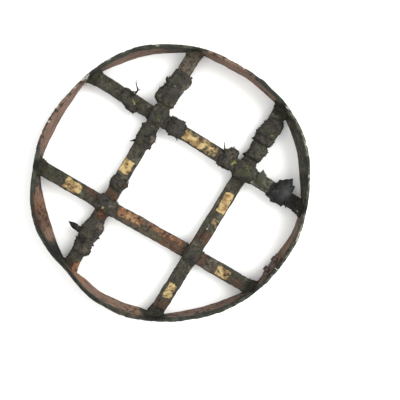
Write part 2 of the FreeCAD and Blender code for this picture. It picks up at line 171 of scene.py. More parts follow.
def noise(points, cell, seed):
    """Smooth noise: cell values blended between the eight corners round each point."""
    place = np.asarray(points) / cell
    low = np.floor(place).astype(np.int64)
    share = place - low
    share = share * share * share * (share * (share * 6 - 15) + 10)
    total = np.zeros(place.shape[:-1])
    for corner in range(8):
        step = np.array([corner & 1, (corner >> 1) & 1, corner >> 2])
        weight = np.prod(np.where(step, share, 1 - share), axis=-1)
        total += weight * cell_value(low + step, seed)
    return total


def rough(points, cell, seed, octaves=3):
    """Noise at one size plus finer and fainter copies of itself."""
    return sum(noise(points, cell / 2 ** k, seed + 31 * k) / 2 ** k for k in range(octaves))


def ridged(points, cell, seed, octaves=2):
    """Creased noise: one less the height of the folds, from 0 to about 1."""
    layers = [(1 - np.abs(noise(points, cell / 2 ** k, seed + 17 * k))) ** 2 / 2 ** k for k in range(octaves)]
    return sum(layers) / 1.5


def ease(value, low, high):
    """From 0 at low to 1 at high along a smooth curve."""
    share = np.clip((np.asarray(value, float) - low) / (high - low), 0, 1)
    return share * share * (3 - 2 * share)


# ---------------------------------------------------------------- shells
def skin(rings, **layers):
    """A closed shell: rings of points joined in turn, and each end closed on its own middle."""
    count, around = rings.shape[:2]
    grid = np.arange(count * around).reshape(count, around)
    turned = np.roll(grid, -1, axis=1)
    quads = np.stack([grid[:-1], turned[:-1], turned[1:], grid[1:]], axis=-1).reshape(-1, 4)
    ends = np.array([rings[0].mean(axis=0), rings[-1].mean(axis=0)])
    first = np.full(around, count * around)
    start_fan = np.stack([first, turned[0], grid[0]], axis=-1)
    stop_fan = np.stack([first + 1, grid[-1], turned[-1]], axis=-1)
    shell = {
        "points": np.concatenate([rings.reshape(-1, 3), ends]),
        "quads": quads,
        "tris": np.concatenate([start_fan, stop_fan]),
    }
    for name, values in layers.items():
        flat = np.broadcast_to(values, (count, around)).reshape(-1)
        shell[name] = np.concatenate([flat, [flat[0], flat[-1]]])
    return shell


def gathered(shells):
    """Several shells as one, with their corner numbers moved up and missing layers left at nought."""
    offsets = np.cumsum([0] + [len(shell["points"]) for shell in shells])
    names = sorted({name for shell in shells for name in shell} - {"points", "quads", "tris"})
    whole = {"points": np.concatenate([shell["points"] for shell in shells])}
    for kind in ("quads", "tris"):
        whole[kind] = np.concatenate([shell[kind] + offset for shell, offset in zip(shells, offsets)])
    for name in names:
        parts = [shell.get(name, np.zeros(len(shell["points"]))) for shell in shells]
        whole[name] = np.concatenate(parts)
    return whole


def make_piece(name, shell, material, nodes):
    """A mesh object from a shell in millimetres, riding on the hoop in place of its nodes."""
    points, quads, tris = shell["points"] * MM, shell["quads"], shell["tris"]
    mesh = bpy.data.meshes.new(name)
    mesh.vertices.add(len(points))
    mesh.vertices.foreach_set("co", points.astype(np.float32).ravel())
    mesh.loops.add(quads.size + tris.size)
    mesh.loops.foreach_set("vertex_index", np.concatenate([quads.ravel(), tris.ravel()]).astype(np.int32))
    starts = np.concatenate([np.arange(len(quads)) * 4, quads.size + np.arange(len(tris)) * 3])
    mesh.polygons.add(len(starts))
    mesh.polygons.foreach_set("loop_start", starts.astype(np.int32))
    mesh.polygons.foreach_set("use_smooth", np.full(len(starts), True))
    for layer in sorted(set(shell) - {"points", "quads", "tris"}):
        values = mesh.attributes.new(layer, "FLOAT", "POINT")
        values.data.foreach_set("value", shell[layer].astype(np.float32))
    mesh.update(calc_edges=True)
    mesh.validate()
    mesh.materials.append(material)
    piece = bpy.data.objects.new(name, mesh)
    bpy.context.scene.collection.objects.link(piece)
    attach(piece, "root")
    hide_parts(*nodes)
    return piece


def follow(line, places):
    """Values at some places along a line that is given by its corners."""
    return np.interp(places, *np.array(line).T)


def box_section(long_count, short_count, corner_count):
    """A rounded rectangle read round its edge: how far out each point's corner centre lies, and
    the direction in which the corner radius takes it from there."""
    shares, outwards = [], []
    corners = [(1, 1), (-1, 1), (-1, -1), (1, -1)]
    for number, (x, y) in enumerate(corners):
        side = np.linspace(-1, 1, (short_count if number % 2 == 0 else long_count) + 2)[1:-1]
        before = corners[number - 1]
        run = np.outer((1 - side) / 2, before) + np.outer((1 + side) / 2, (x, y))
        normal = np.array([(x, 0), (0, y)][number % 2], float)
        shares.append(run)
        outwards.append(np.tile(normal, (len(side), 1)))
        turn = np.radians(90 * number + np.linspace(0, 90, corner_count))
        shares.append(np.tile((x, y), (corner_count, 1)))
        outwards.append(np.stack([np.cos(turn), np.sin(turn)], axis=-1))
    return np.concatenate(shares).astype(float), np.concatenate(outwards)


def section_rings(bar, stations, left, right, over, under, radius, section):
    """Rings along a bar: a rounded rectangle that reaches left, right, over and under its middle line.
    Also each point's way out, and its place along, across and up from the bar's middle line."""
    shares, outwards = section
    half_wide, half_high = (left + right) / 2, (over + under) / 2
    shift_wide, shift_high = (left - right) / 2, (over - under) / 2
    radius = np.minimum(radius, np.minimum(half_wide, half_high) * 0.95)
    across = (half_wide - radius)[:, None] * shares[:, 0] + radius[:, None] * outwards[:, 0]
    up = (half_high - radius)[:, None] * shares[:, 1] + radius[:, None] * outwards[:, 1]
    across = across + shift_wide[:, None]
    up = up + shift_high[:, None]
    place = np.stack([np.repeat(stations[:, None], len(shares), axis=1), across, up], axis=-1)
    rings = bar.points(place[..., 0], across, up)
    normals = outwards[None, :, :1] * bar.left + outwards[None, :, 1:] * np.array([0.0, 0.0, 1.0])
    return rings, np.broadcast_to(normals, rings.shape), place


# ---------------------------------------------------------------- scattered bits
def frames_on(normals, generator):
    """Two directions at right angles to each normal, turned at random about it."""
    guess = generator.normal(size=normals.shape)
    along = np.cross(normals, guess)
    along /= np.linalg.norm(along, axis=-1, keepdims=True)
    return along, np.cross(normals, along)


def copies(template, places, axes, scales, tones, jitter=0.0):
    """A small shell repeated: its points stretched by scales, moved a little by jitter and set on each
    place's own axes."""
    points = template["points"][None] * scales[:, None, :] + jitter
    along, across, up = axes
    world = (points[..., :1] * along[:, None] + points[..., 1:2] * across[:, None]
             + points[..., 2:] * up[:, None]) + places[:, None]
    count, size = len(places), len(template["points"])
    steps = (np.arange(count) * size)[:, None, None]
    return {
        "points": world.reshape(-1, 3),
        "quads": (template["quads"][None] + steps).reshape(-1, 4),
        "tris": (template["tris"][None] + steps).reshape(-1, 3),
        "tone": np.repeat(tones, size),
    }


def strand_template(rings, around, bend):
    """A thin curved taper: circles that shrink as they follow an arc of a circle."""
    share = np.linspace(0, 1, rings)[:, None]
    turn = np.linspace(0, 2 * np.pi, around, endpoint=False)[None]
    radius = (1 - 0.85 * share) * 0.5
    points = np.stack([
        radius * np.cos(turn) + bend * share ** 2,
        radius * np.sin(turn) + 0 * share,
        share + 0 * turn,
    ], axis=-1)
    return skin(points)


def flake_template():
    """A small curved scale: flat ovals along its length, cupped across and lifted at the tip."""
    share = np.linspace(0, 1, 5)[:, None]
    turn = np.linspace(0, 2 * np.pi, 8, endpoint=False)[None]
    width = (0.35 + 0.65 * np.sin(np.pi * (0.12 + 0.8 * share))) * 0.5
    side = width * np.cos(turn)
    points = np.stack([
        share - 0.5 + 0 * turn,
        side,
        0.06 * np.sin(turn) - 0.9 * side ** 2 + 0.22 * share ** 2,
    ], axis=-1)
    return skin(points)


def crumb_template():
    """A small lump of a dozen corners: rings of five points between two closed ends."""
    heights = np.array([-0.85, -0.3, 0.35, 0.85])[:, None]
    turn = np.linspace(0, 2 * np.pi, 6, endpoint=False)[None] + heights * 1.2
    radius = np.sqrt(1 - heights ** 2 * 0.92)
    points = np.stack([radius * np.cos(turn), radius * np.sin(turn), heights + 0 * turn], axis=-1)
    return skin(points * 0.5)


STRAND = strand_template(5, 4, 0.35)
FLAKE = flake_template()
CRUMB = crumb_template()
# how far a crumb's middle stands out of the skin and how uneven it is, as shares of its size
CRUMB_RISE = 0.05
CRUMB_JITTER = 0.07
# how far a scale leans and lies above the skin
FLAKE_LEAN = 0.22
FLAKE_RISE = 0.15
# how far a strand leans, how deep it is rooted and how thick it is
STRAND_LEAN = 0.8
STRAND_ROOT = 0.2
STRAND_THICK = 0.32


def crumbs_on(places, normals, count, sizes, generator):
    """Crumbs half sunk in a surface at chosen places."""
    pick = generator.integers(0, len(places), count)
    scale = generator.uniform(*sizes, size=(count, 1)) * generator.uniform(0.6, 1.3, size=(count, 3))
    up = normals[pick]
    along, across = frames_on(up, generator)
    seats = places[pick] + up * scale[:, 2:] * CRUMB_RISE
    jitter = generator.normal(size=(count, len(CRUMB["points"]), 3)) * scale.mean(axis=1)[:, None, None]
    jitter = jitter * CRUMB_JITTER
    return copies(CRUMB, seats, (along, across, up), scale, generator.uniform(-1, 1, count), jitter)


def flakes_on(places, normals, count, lengths, generator):
    """Scales lying on a surface, each lifted by a random part of a turn at one end."""
    pick = generator.integers(0, len(places), count)
    up = normals[pick] + generator.normal(size=(count, 3)) * FLAKE_LEAN
    up /= np.linalg.norm(up, axis=-1, keepdims=True)
    along, across = frames_on(up, generator)
    length = generator.uniform(*lengths, size=(count, 1))
    scale = length * np.array([1.0, 0.75, 0.9]) * generator.uniform(0.75, 1.2, size=(count, 3))
    seats = places[pick] + normals[pick] * FLAKE_RISE
    return copies(FLAKE, seats, (along, across, up), scale, generator.uniform(-1, 1, count))


def strands_on(places, normals, count, lengths, generator):
    """Fine strands standing out of a surface, leaning every way."""
    pick = generator.integers(0, len(places), count)
    up = normals[pick] + generator.normal(size=(count, 3)) * STRAND_LEAN
    up /= np.linalg.norm(up, axis=-1, keepdims=True)
    along, across = frames_on(up, generator)
    length = generator.uniform(*lengths, size=(count, 1))
    thick = np.full((count, 2), STRAND_THICK) * generator.uniform(0.7, 1.4, (count, 1))
    scale = np.concatenate([thick, length], axis=1)
    roots = places[pick] - up * STRAND_ROOT
    return copies(STRAND, roots, (along, across, up), scale, generator.uniform(-1, 1, count))


# ---------------------------------------------------------------- the band's form
# where the band's two ends meet and half the gap between them, in degrees
SEAM = -8.0
SEAM_HALF = 0.05
# how far the rear edge is pushed out at the bar ends and drawn in between them
REAR_PUSH = 2.2
# how many rings the band has and how round its section's corners are
BAND_RINGS = 1180
BAND_CORNER = 0.75

# where bending by hand left the front edge out of round: direction, push outwards, spread in degrees
LOBES = [(226, 3.9, 14), (135, 1.4, 11), (49, 2.8, 17), (281, 2.5, 13), (167, -2.6, 15), (91, -2, 12),
         (251, -2.2, 7), (266, 0.9, 7), (7, 0.8, 7), (205, -0.6, 7)]
# and the same for the rear edge
REAR_LOBES = [(226, -2, 13), (269, 1.1, 7), (259, -1.2, 5), (288, -2.4, 6), (131, 1.6, 15), (84, 1.7, 12),
              (45, 1.9, 10), (24, 0.5, 7), (8, 2.2, 7), (165, 0.9, 7), (187, -0.6, 8)]


def end_directions():
    """The directions of the eight bar ends from the hoop's middle, in degrees and in order."""
    ends = [bar.middle + way * bar.half * bar.along for bar in ALL_BARS.values() for way in (-1, 1)]
    return np.array(sorted(math.degrees(math.atan2(end[1], end[0])) % 360 for end in ends))


JOINTS = end_directions()


def apart(angles, centre):
    """How far each angle is from a centre, the short way round, in degrees."""
    return (np.asarray(angles) - centre + 180) % 360 - 180


def humps(angles, table):
    """A sum of rounded bumps round the hoop: each one's height times exp(-(angle from centre / spread)^2)."""
    return sum(height * np.exp(-(apart(angles, centre) / spread) ** 2) for centre, height, spread in table)


def band_radius(angles, share):
    """Outside radius at a direction and a share of the depth: the rear edge is pushed out at the bar
    ends and drawn in between them as 1.2 s^2 - 0.2 s^12, and the front edge is round but for lobes."""
    edges = np.concatenate([JOINTS[-1:] - 360, JOINTS, JOINTS[:1] + 360])
    around = np.asarray(angles) % 360
    number = np.clip(np.searchsorted(edges, around, side="right") - 1, 0, len(edges) - 2)
    place = 2 * (around - edges[number]) / (edges[number + 1] - edges[number]) - 1
    rear = REAR_PUSH * (2 * (1.2 * place ** 2 - 0.2 * place ** 12) - 1)
    rear = rear + humps(around, REAR_LOBES)
    return FRONT_RADIUS + rear * (1 - share) + humps(around, LOBES) * (0.2 + 0.8 * share)


# how much of the inner wall shows red-brown, by direction in degrees
INNER_RUST = [(0, 0.7), (17, 0.7), (20, 0.4), (66, 0.36), (70, 0.62), (78, 0.8), (84, 1), (106, 0.85),
              (111, 0.3), (120, 0.42), (128, 0.8), (149, 0.9), (154, 0.25), (158, 0.25), (162, 0.82),
              (191, 0.9), (200, 0.45), (204, 0.35), (211, 0.45), (217, 0.78), (236, 0.76), (240, 0.12),
              (248, 0.15), (251, 1), (271, 0.95), (279, 0.7), (287, 0.55), (291, 0.2), (297, 0.2),
              (302, 0.6), (345, 0.6), (360, 0.7)]
# how dark the strip beside the front edge is, by direction
RIM_DARK = [(0, 0.6), (18, 0.6), (22, 1), (62, 1), (74, 0.9), (82, 0.45), (88, 0.12), (106, 0.15),
            (113, 1), (150, 1), (157, 0.2), (194, 0.15), (201, 1), (246, 1), (254, 0.75), (360, 0.6)]
# pale chips along the front edge: direction, strength, spread in degrees
RIM_CHIPS = [(184, 1.3, 1.2), (177, 1.3, 1.6), (173.5, 1, 0.8), (166, 1.2, 0.9), (147, 1.3, 2.6),
             (160.5, 1.6, 2.4), (126, 1.3, 1.5), (64, 1.2, 2.2), (56, 1.1, 1.4), (50, 1, 2),
             (43, 1.2, 1.6), (271, 0.9, 0.8), (266, 0.8, 0.6), (251, 0.5, 1), (8, 0.8, 2), (96, 0.8, 1.2),
             (88, 0.8, 0.9), (328, 0.8, 1.5)]
# a pale line along the middle of the front edge, painted as a highlight on its crest: where it is, by
# direction
EDGE_HIGHLIGHT_LINE = [(0, 0.5), (5, 0.9), (14, 1), (38, 0.95), (58, 0.6), (66, 0), (154, 0), (158, 0.8),
             (163, 0.5), (168, 0), (205, 0), (212, 0.12), (242, 0.1), (246, 0), (330, 0), (345, 0.5),
             (360, 0.5)]


# stains on the inner wall: direction, strength, spread in degrees
INNER_ASH = [(12, 0.55, 22), (250, 0.3, 5)]
INNER_ORANGE = [(224, 0.8, 11), (284, 0.48, 8)]
INNER_SOOT = [(294, 1, 5), (243, 0.9, 4.5), (226, 0.6, 11)]
# orange that lies near the rear edge, and near the front edge
REAR_ORANGE = [(254, 1, 9)]
FRONT_ORANGE = [(82, 0.35, 5)]
# a bare lip on the rear edge, soot on the front edge, and where the moss is thickest
REAR_LIP = [(268, 0.7, 8)]
FRONT_SOOT = [(255, 0.62, 38)]
MOST_MOSS = [(44, 0.6, 24)]
# how far round from a bar's end the band is dark, and where one such dark spot is left out, in degrees
JOINT_SPREAD = 2.6
CLEAN_FROM, CLEAN_TO = 248, 264


def band_stains(around, flat, share, nibble):
    """What covers the band at each point, with a painted highlight along the front edge: the tables above,
    each broken up by noise of its own size.
    """
    through = flat[..., 2] / WALL
    inside, outside = ease(-through, 0.1, 0.45), ease(through, 0.1, 0.45)
    edge = ease(share, 0.9, 1.0)
    face = edge * (1 - outside)
    wander = rough(flat * [0.3, 1.0, 1.0], 6.0, 14, 3)
    angle = around % 360 + wander * 1.2
    rusty, rim_dark = follow(INNER_RUST, angle), follow(RIM_DARK, angle)
    dark_rim = rim_dark * ease(share + 0.06 * wander, 0.72, 0.88)
    dark_back = ease(1 - share + 0.05 * wander, 0.9, 0.98) * 0.5
    near_joint = np.max([humps(around, [(joint, 1, JOINT_SPREAD)]) for joint in JOINTS], axis=0)
    inner = np.maximum(inside, face * (1 - rim_dark))
    rust = inner * rusty * (1 - dark_rim) * (1 - dark_back) * (1 - 0.6 * near_joint * (rusty < 0.9))
    rust = rust + outside * ease(rough(flat * [0.25, 1, 1], 16, 21, 3), -0.1, 0.9) * 0.75
    pale = ease(share, 0.94, 0.99) * humps(around, RIM_CHIPS) * ease(rough(flat, 2.2, 23, 2), -0.4, 0.5)
    pale = pale * (0.35 + 0.65 * ease(through, -0.3, 0.3)) + edge * nibble * 0.3
    # painted highlight: a pale line along the crest of the front edge
    line = follow(EDGE_HIGHLIGHT_LINE, around % 360) * np.exp(-((flat[..., 2] - 0.3) / 0.75) ** 2)
    line = line * ease(share, 0.965, 0.99) * ease(rough(flat * [0.35, 1, 1], 4.0, 24, 2), -0.9, 0.4)
    lip = ease(1 - share, 0.93, 0.97) * humps(around, REAR_LIP)
    pale = pale + lip * ease(rough(flat * [0.3, 1, 1], 4.0, 28, 2), -0.6, 0.4) + 0.5 * line
    orange = (humps(around, REAR_ORANGE) * ease(1 - share, 0.1, 0.4)
              + humps(around, FRONT_ORANGE) * ease(share, 0.2, 0.5) + humps(around, INNER_ORANGE))
    moss = ease(rough(flat * [0.6, 1, 1], 7, 25, 3), 0.05, 1.0) * (0.35 + 0.65 * (1 - rust))
    kept = 1 - ease(apart(around, CLEAN_FROM), -0.5, 1.5) * ease(-apart(around, CLEAN_TO), -1.0, 1.0)
    soot = near_joint * 0.85 * kept * (1 - 0.8 * outside) + inside * humps(around, INNER_SOOT)
    return {
        "rust": rust,
        "pale": pale,
        "orange": inside * orange,
        "moss": moss * (0.55 + humps(around, MOST_MOSS)),
        "soot": np.clip(soot + face * humps(around, FRONT_SOOT), 0, 1),
        # the front edge's painted highlight also greys the ash layer
        "ashen": 1.4 * line + inside * humps(around, INNER_ASH),
    }


def band_shell():
    """The band: a rounded rectangle, depth by wall, carried once round from one end to the other. Noise
    drawn out along the band pushes its walls in and out, and nibbles and waves its two edges."""
    around = np.linspace(SEAM + SEAM_HALF, SEAM + 360 - SEAM_HALF, BAND_RINGS)[:, None]
    shares, outwards = box_section(25, 3, 4)
    depth = BAND_DEPTH / 2 + (BAND_DEPTH / 2 - BAND_CORNER) * shares[:, 0] + BAND_CORNER * outwards[:, 0]
    through = (WALL / 2 - BAND_CORNER) * shares[:, 1] + BAND_CORNER * outwards[:, 1]
    depth = np.broadcast_to(depth, (len(around), len(depth)))
    share = depth / BAND_DEPTH
    radius = band_radius(around, share) - WALL / 2 + through
    arc = np.radians(around) * FRONT_RADIUS
    flat = np.stack([arc + 0 * depth, depth, np.broadcast_to(through, depth.shape)], axis=-1)
    grain = rough(flat * [0.12, 1.0, 0.6], 2.2, 5, 3)
    pits = rough(flat, 3.0, 7, 3)
    front_edge, back_edge = ease(share, 0.9, 1.0), ease(1 - share, 0.93, 1.0)
    nibble = ease(rough(flat * [1.0, 0.2, 0.4], 6.0, 9, 3), 0.25, 1.0)
    wave = rough(flat * [1.0, 0.0, 0.0], 26.0, 10, 2)
    push = 0.14 * grain + 0.13 * pits + 0.28 * rough(flat, 14.0, 12, 2)
    radius = radius + push * outwards[:, 1] - front_edge * nibble * 0.5 * outwards[:, 1]
    depth = depth + front_edge * (0.30 * wave - 0.75 * nibble)
    depth = np.maximum(depth + back_edge * (0.6 * nibble + 0.2 + 0.2 * wave), 0.0)
    turn = np.radians(around) + 0 * depth
    rings = np.stack([radius * np.cos(turn), radius * np.sin(turn), depth], axis=-1)
    return skin(rings, along=arc, around=flat[..., 1] + flat[..., 2],
                **band_stains(around, flat, share, nibble))


# ---------------------------------------------------------------- stains
# on the bars' fronts, bar by bar: the layer, from and to along the frame's own axis, from and to across
# the bar (left of its direction is positive), strength
PATCHES = {
    "left_upright": [
        ("tan", -15.5, -1.8, -3.6, 6.2, 1.35), ("rust", -43, -36, -7, 7, 0.85),
        ("rust", -63, -57, -7, 7, 0.95), ("buff", 92, 124, -7, 7, 0.8), ("buff", -30, 12, -7, 7, 0.35),
        ("rust", -124, -112, -7, 0, 0.6),
    ],
    "right_upright": [
        ("tan", 0.6, 21, -5.4, 3.2, 1.3), ("tan", -14.5, -7, -5.8, 0.6, 0.48),
        ("soot", 22, 36, -7, 7, 0.45), ("tan", -22.5, -17, -6, -1.5, 0.35),
        ("rust", -48, -19, -7, 7, 0.42), ("soot", -36, -16, -2, 7, 0.45), ("tan", -98, -82, -5, 4, 0.66),
        ("rust", -122, -100, -7, 7, 0.6), ("soot", -124, -109, -7, 7, 0.8),
    ],
    "upper_cross": [
        ("tan", -16, 9, -5.6, 1.8, 0.75), ("tan", 9, 25, -5.6, 1.8, 0.42), ("tan", -15, 24, 1, 6.4, 0.45),
        ("buff", -36, -14, -7, 7, 0.4), ("ashen", 64, 86, -7, 7, 0.5), ("soot", 84, 125, -7, 7, 0.85),
    ],
    "lower_cross": [
        ("tan", -89, -70.5, -6, 5.6, 0.66), ("tan", -24, -6, -2, 6, 0.38),
        ("orange", -31, -2, -2.5, 7, 0.7), ("rust", -22, 22, -7, 7, 0.48), ("orange", 2, 40, 1, 7, 0.62),
        ("rust", 18, 70, -7, 7, 0.72), ("rust", -69, -54, 0, 7, 0.62), ("rust", 78, 112, -7, 3, 0.55),
        ("tan", 82, 96, -5, 5, 0.6), ("buff", -22, 90, -7, 7, 0.55), ("soot", -58, -34, -7, 7, 0.3),
    ],
}
# on everything seen from the front, layer by layer: X, Y, how far it spreads, strength
SPOTS = {
    "moss": [
        (-90, 50.4, 3.6, 1), (-70, 50, 6, 0.7), (-115.2, 51.5, 6, 0.75), (-104, 49, 7, 0.45),
        (-80, 50, 5, 0.5), (-40.9, 46.5, 4.2, 0.85), (-46, 51, 4, 0.7), (-46.1, 18.3, 3.8, 0.95),
        (-44, 62, 5, 0.85), (-45, 34, 4, 0.55), (42.8, 49, 5, 0.8), (56.3, 49.9, 5, 0.9),
        (60, 46, 5, 0.6), (51, 44, 4, 0.7), (71, 46, 5, 0.8), (60.2, 90.6, 5, 0.7), (54, 72, 5, 0.5),
        (-62.7, -51.4, 2.6, 0.9), (8.2, -50, 5, 0.8), (18.2, -53, 4.5, 0.8), (-2, -54, 4, 0.5),
        (-110, -51.4, 6, 0.75), (-100, -53, 5, 0.5), (-42.5, -30.9, 5, 0.7), (54.9, 31.9, 3.2, 0.6),
        (-44, 112, 6, 0.55), (-46, -84, 4, 0.5), (-40, -96, 5, 0.5), (-47, -72, 4, 0.45),
        (-12, 53, 3, 0.5), (5, 53, 3, 0.45), (-84, -53, 3, 0.5), (-47, 90, 6, 0.7), (-50, 28, 5, 0.7),
        (-25, 56, 4, 0.6), (38, 58, 3.5, 0.6), (62, 76, 5, 0.7), (-41, -84, 4, 0.7),
    ],
    "sprig": [
        (-71.1, 48.4, 1.5, 0.78), (-69.9, 50.6, 1, 0.7), (-72.9, 49.9, 0.9, 0.7), (-69.4, 47.2, 1.1, 0.8),
        (-68.6, 52.6, 0.8, 0.8), (-46.1, 18, 1.3, 0.8), (-41.5, 63, 2.5, 0.5), (42.8, 49.2, 2.6, 0.72),
        (41.6, 46.6, 2, 0.66), (72, 46.6, 1.4, 0.5), (60.8, 90, 2.4, 0.42),
    ],
    "ashen": [
        (-40.9, 46, 2.2, 0.8), (-45.5, 35.5, 1.6, 0.5), (56, 50.2, 1.8, 0.8), (-38.5, -49.5, 1.6, 0.7),
        (54.9, 31.9, 2, 0.55), (-44.5, 82, 1.2, 0.7), (62, 50, 3, 0.45),
    ],
    "tan": [
        (-43.7, -54.5, 1.5, 0.8), (-33, -119, 4, 0.7),
    ],
    "rust": [
        (-35.4, -26.5, 3.5, 0.8), (58, -27.3, 4, 0.7), (49, -30, 4, 0.3), (-42.5, -61.5, 5.5, 1.3),
        # painted highlight: the rust spot at (-33, 74) lies on the top knot's right flank, where the light
        # falls
        (-33, 74, 5, 0.5), (-40, -107, 5, 0.4), (-38, 124, 5, 0.6), (-20, 42, 3.5, 0.4),
        (30, 42, 3.5, 0.4), (-35.5, 22, 4, 0.4), (-24, 49, 4, 0.35), (-44, -78, 4, 0.5),
        (-50, -47, 4, 0.6),
    ],
    "orange": [
        # painted highlight: the orange spot at (-30.5, 73) lies on the top knot's right flank, where the
        # light falls
        (-33, -118.5, 5.5, 2.2), (-43, -60.5, 4.5, 0.7), (-30.5, 73, 2.6, 0.5),
    ],
    "pale": [
        (53.4, -19.6, 0.9, 0.9), (119.6, 40.2, 1.1, 1),
    ],
    "soot": [
        (53.9, 67.8, 4.5, 0.5), (54, 98, 7, 0.45), (84, 47.7, 4.5, 0.45), (-110, -49.3, 6, 0.45),
        # painted shade: the soot spot at (-54.5, 74) lies on the top knot's left flank, away from the light
        (-44, -90, 5, 0.45), (-54.5, 74, 5, 0.5), (-31, 47, 4, 0.5), (30, 46, 3.5, 0.5),
        (50, 80, 5, 0.45), (-49, -92, 5, 0.5), (-44, -58, 3.5, 0.4),
    ],
    "buff": [
        # the buff spots on the growths' right (+X) and upper (+Y) flanks are painted highlight; the large
        # spot at (-43.7, 122) is a pale brown cast
        (-43.7, 122, 9, 1.4), (-32.5, 76, 6, 0.9), (-35.5, 64, 4, 0.8), (-33, 86, 5, 0.9),
        (-36, 27, 4, 0.9), (36, 53, 4, 0.7), (60, 68, 4, 0.7), (-36, -72, 4.5, 0.8), (-38, -98, 4, 0.7),
        (-36, -46, 4, 0.6), (58, -50, 4, 0.5),
    ],
}
STAIN_LAYERS = ("buff", "tan", "rust", "orange", "moss", "sprig", "soot", "ashen", "pale")
# half the width over which a patch's edge fades, in millimetres
SOFT = 0.8


def stains(points, facing, bar=None, across=None, seed=0):
    """How strongly each stain covers each point: blots and bands with wandering edges on the front,
    and a scatter of the same kinds on the back."""
    layers = {name: np.zeros(points.shape[:-1]) for name in STAIN_LAYERS}
    front = ease(facing, -0.35, 0.35)
    wander = rough(points, 5.0, 40 + seed, 4)
    for layer, spots in SPOTS.items():
        for x, y, spread, strength in spots:
            gap = np.hypot(points[..., 0] - x, points[..., 1] - y) / spread
            layers[layer] += strength * np.exp(-gap ** 2 * (1 + 0.35 * wander)) * front
    if bar is not None:
        reach = points[..., 1] if "upright" in bar.name else points[..., 0]
        reach = reach + wander * 1.1
        side = across + np.roll(wander, 3)
        for layer, start, stop, low, high, strength in PATCHES[bar.name]:
            inside = ease(reach, start - SOFT, start + SOFT) * ease(-reach, -stop - SOFT, -stop + SOFT)
            inside = inside * ease(side, low - SOFT, low + SOFT) * ease(-side, -high - SOFT, -high + SOFT)
            layers[layer] += strength * inside * front
    hidden = 1 - front
    for number, (layer, amount) in enumerate((("rust", 0.8), ("moss", 0.7), ("tan", 0.75), ("buff", 0.8))):
        blots = ease(rough(points, 13.0, 60 + number * 7 + seed, 3), 0.55 - 0.2 * (layer == "rust"), 1.0)
        layers[layer] += amount * blots * hidden
    return {name: np.clip(values, 0, 1) for name, values in layers.items()}


# ---------------------------------------------------------------- bars
# how far a bar's ends are sunk into the band, and the length over which they bend to meet it
SUNK = 1.3
END_REACH = 13.0
# how many rings a bar has, how round its section's corners are, and the points in that section
BAR_RINGS = 520
BAR_CORNER = 1.15
BAR_SECTION = box_section(22, 8, 4)


def wall_station(bar, way, across):
    """How far along a bar its edge line, so far across, meets the inside of the band."""
    heading = math.degrees(math.atan2(*(bar.middle + way * bar.half * bar.along)[[1, 0]]))
    radius = float(band_radius(heading, bar.middle[2] / BAND_DEPTH)) - WALL + SUNK
    along, left = float(bar.middle @ bar.along), float(bar.middle @ bar.left)
    return way * np.sqrt(radius ** 2 - (left + across) ** 2) - along


def bar_shell(bar, seed):
    """A bar: a worn rounded rectangle carried along its woven middle line, its ends cut to the band."""
    low, high = float(wall_station(bar, -1, 0.0)), float(wall_station(bar, 1, 0.0))
    stations = np.linspace(low, high, BAR_RINGS)
    spread = np.stack([stations, 0 * stations, 0 * stations], axis=-1)
    left = BAR_WIDTH / 2 + 0.28 * rough(spread, 9.0, seed, 3)
    right = BAR_WIDTH / 2 + 0.28 * rough(spread, 9.0, seed + 5, 3)
    over = BAR_THICK / 2 + 0.12 * rough(spread, 14.0, seed + 9, 2)
    rings, normals, place = section_rings(bar, stations, left, right, over, over, BAR_CORNER, BAR_SECTION)
    across = place[..., 1]
    for way, end in ((-1, low), (1, high)):
        slide = wall_station(bar, way, across) - end
        near = ease(way * (stations - end), -END_REACH, 0.0)[:, None]
        rings = rings + (slide * near)[..., None] * bar.along
    facing = normals[..., 2]
    grain = rough(place * [0.1, 1.0, 1.0], 1.7, seed + 13, 3)
    pits = rough(place, 2.6, seed + 17, 3)
    layers = stains(rings, facing, bar, across, seed)
    corner = 1 - np.abs(np.abs(facing) - 0.5) * 2
    worn = ease(rough(place, 5.0, seed + 21, 3), 0.1, 0.9) * np.clip(corner, 0, 1)
    bare = ease(layers["tan"] + 0.35 * pits, 0.35, 0.6)
    push = 0.13 * grain + 0.17 * pits - 0.55 * worn - 0.28 * bare
    rings = rings + normals * push[..., None]
    return skin(rings, along=place[..., 0], around=across + place[..., 2], **layers)


# ---------------------------------------------------------------- wrapped growths
# how far scales and crumbs stand out of a growth's skin
LITTER = 0.35
# bits higher than this are stained as the front is and the rest as the back is, both to this degree
FRONT_HEIGHT = 8
BIT_FACING = 0.6
# how far apart a growth's rings are, how round its section is, and the points in that section
GROWTH_STEP = 0.36
GROWTH_CORNER = 3.6
GROWTH_SECTION = box_section(20, 14, 8)


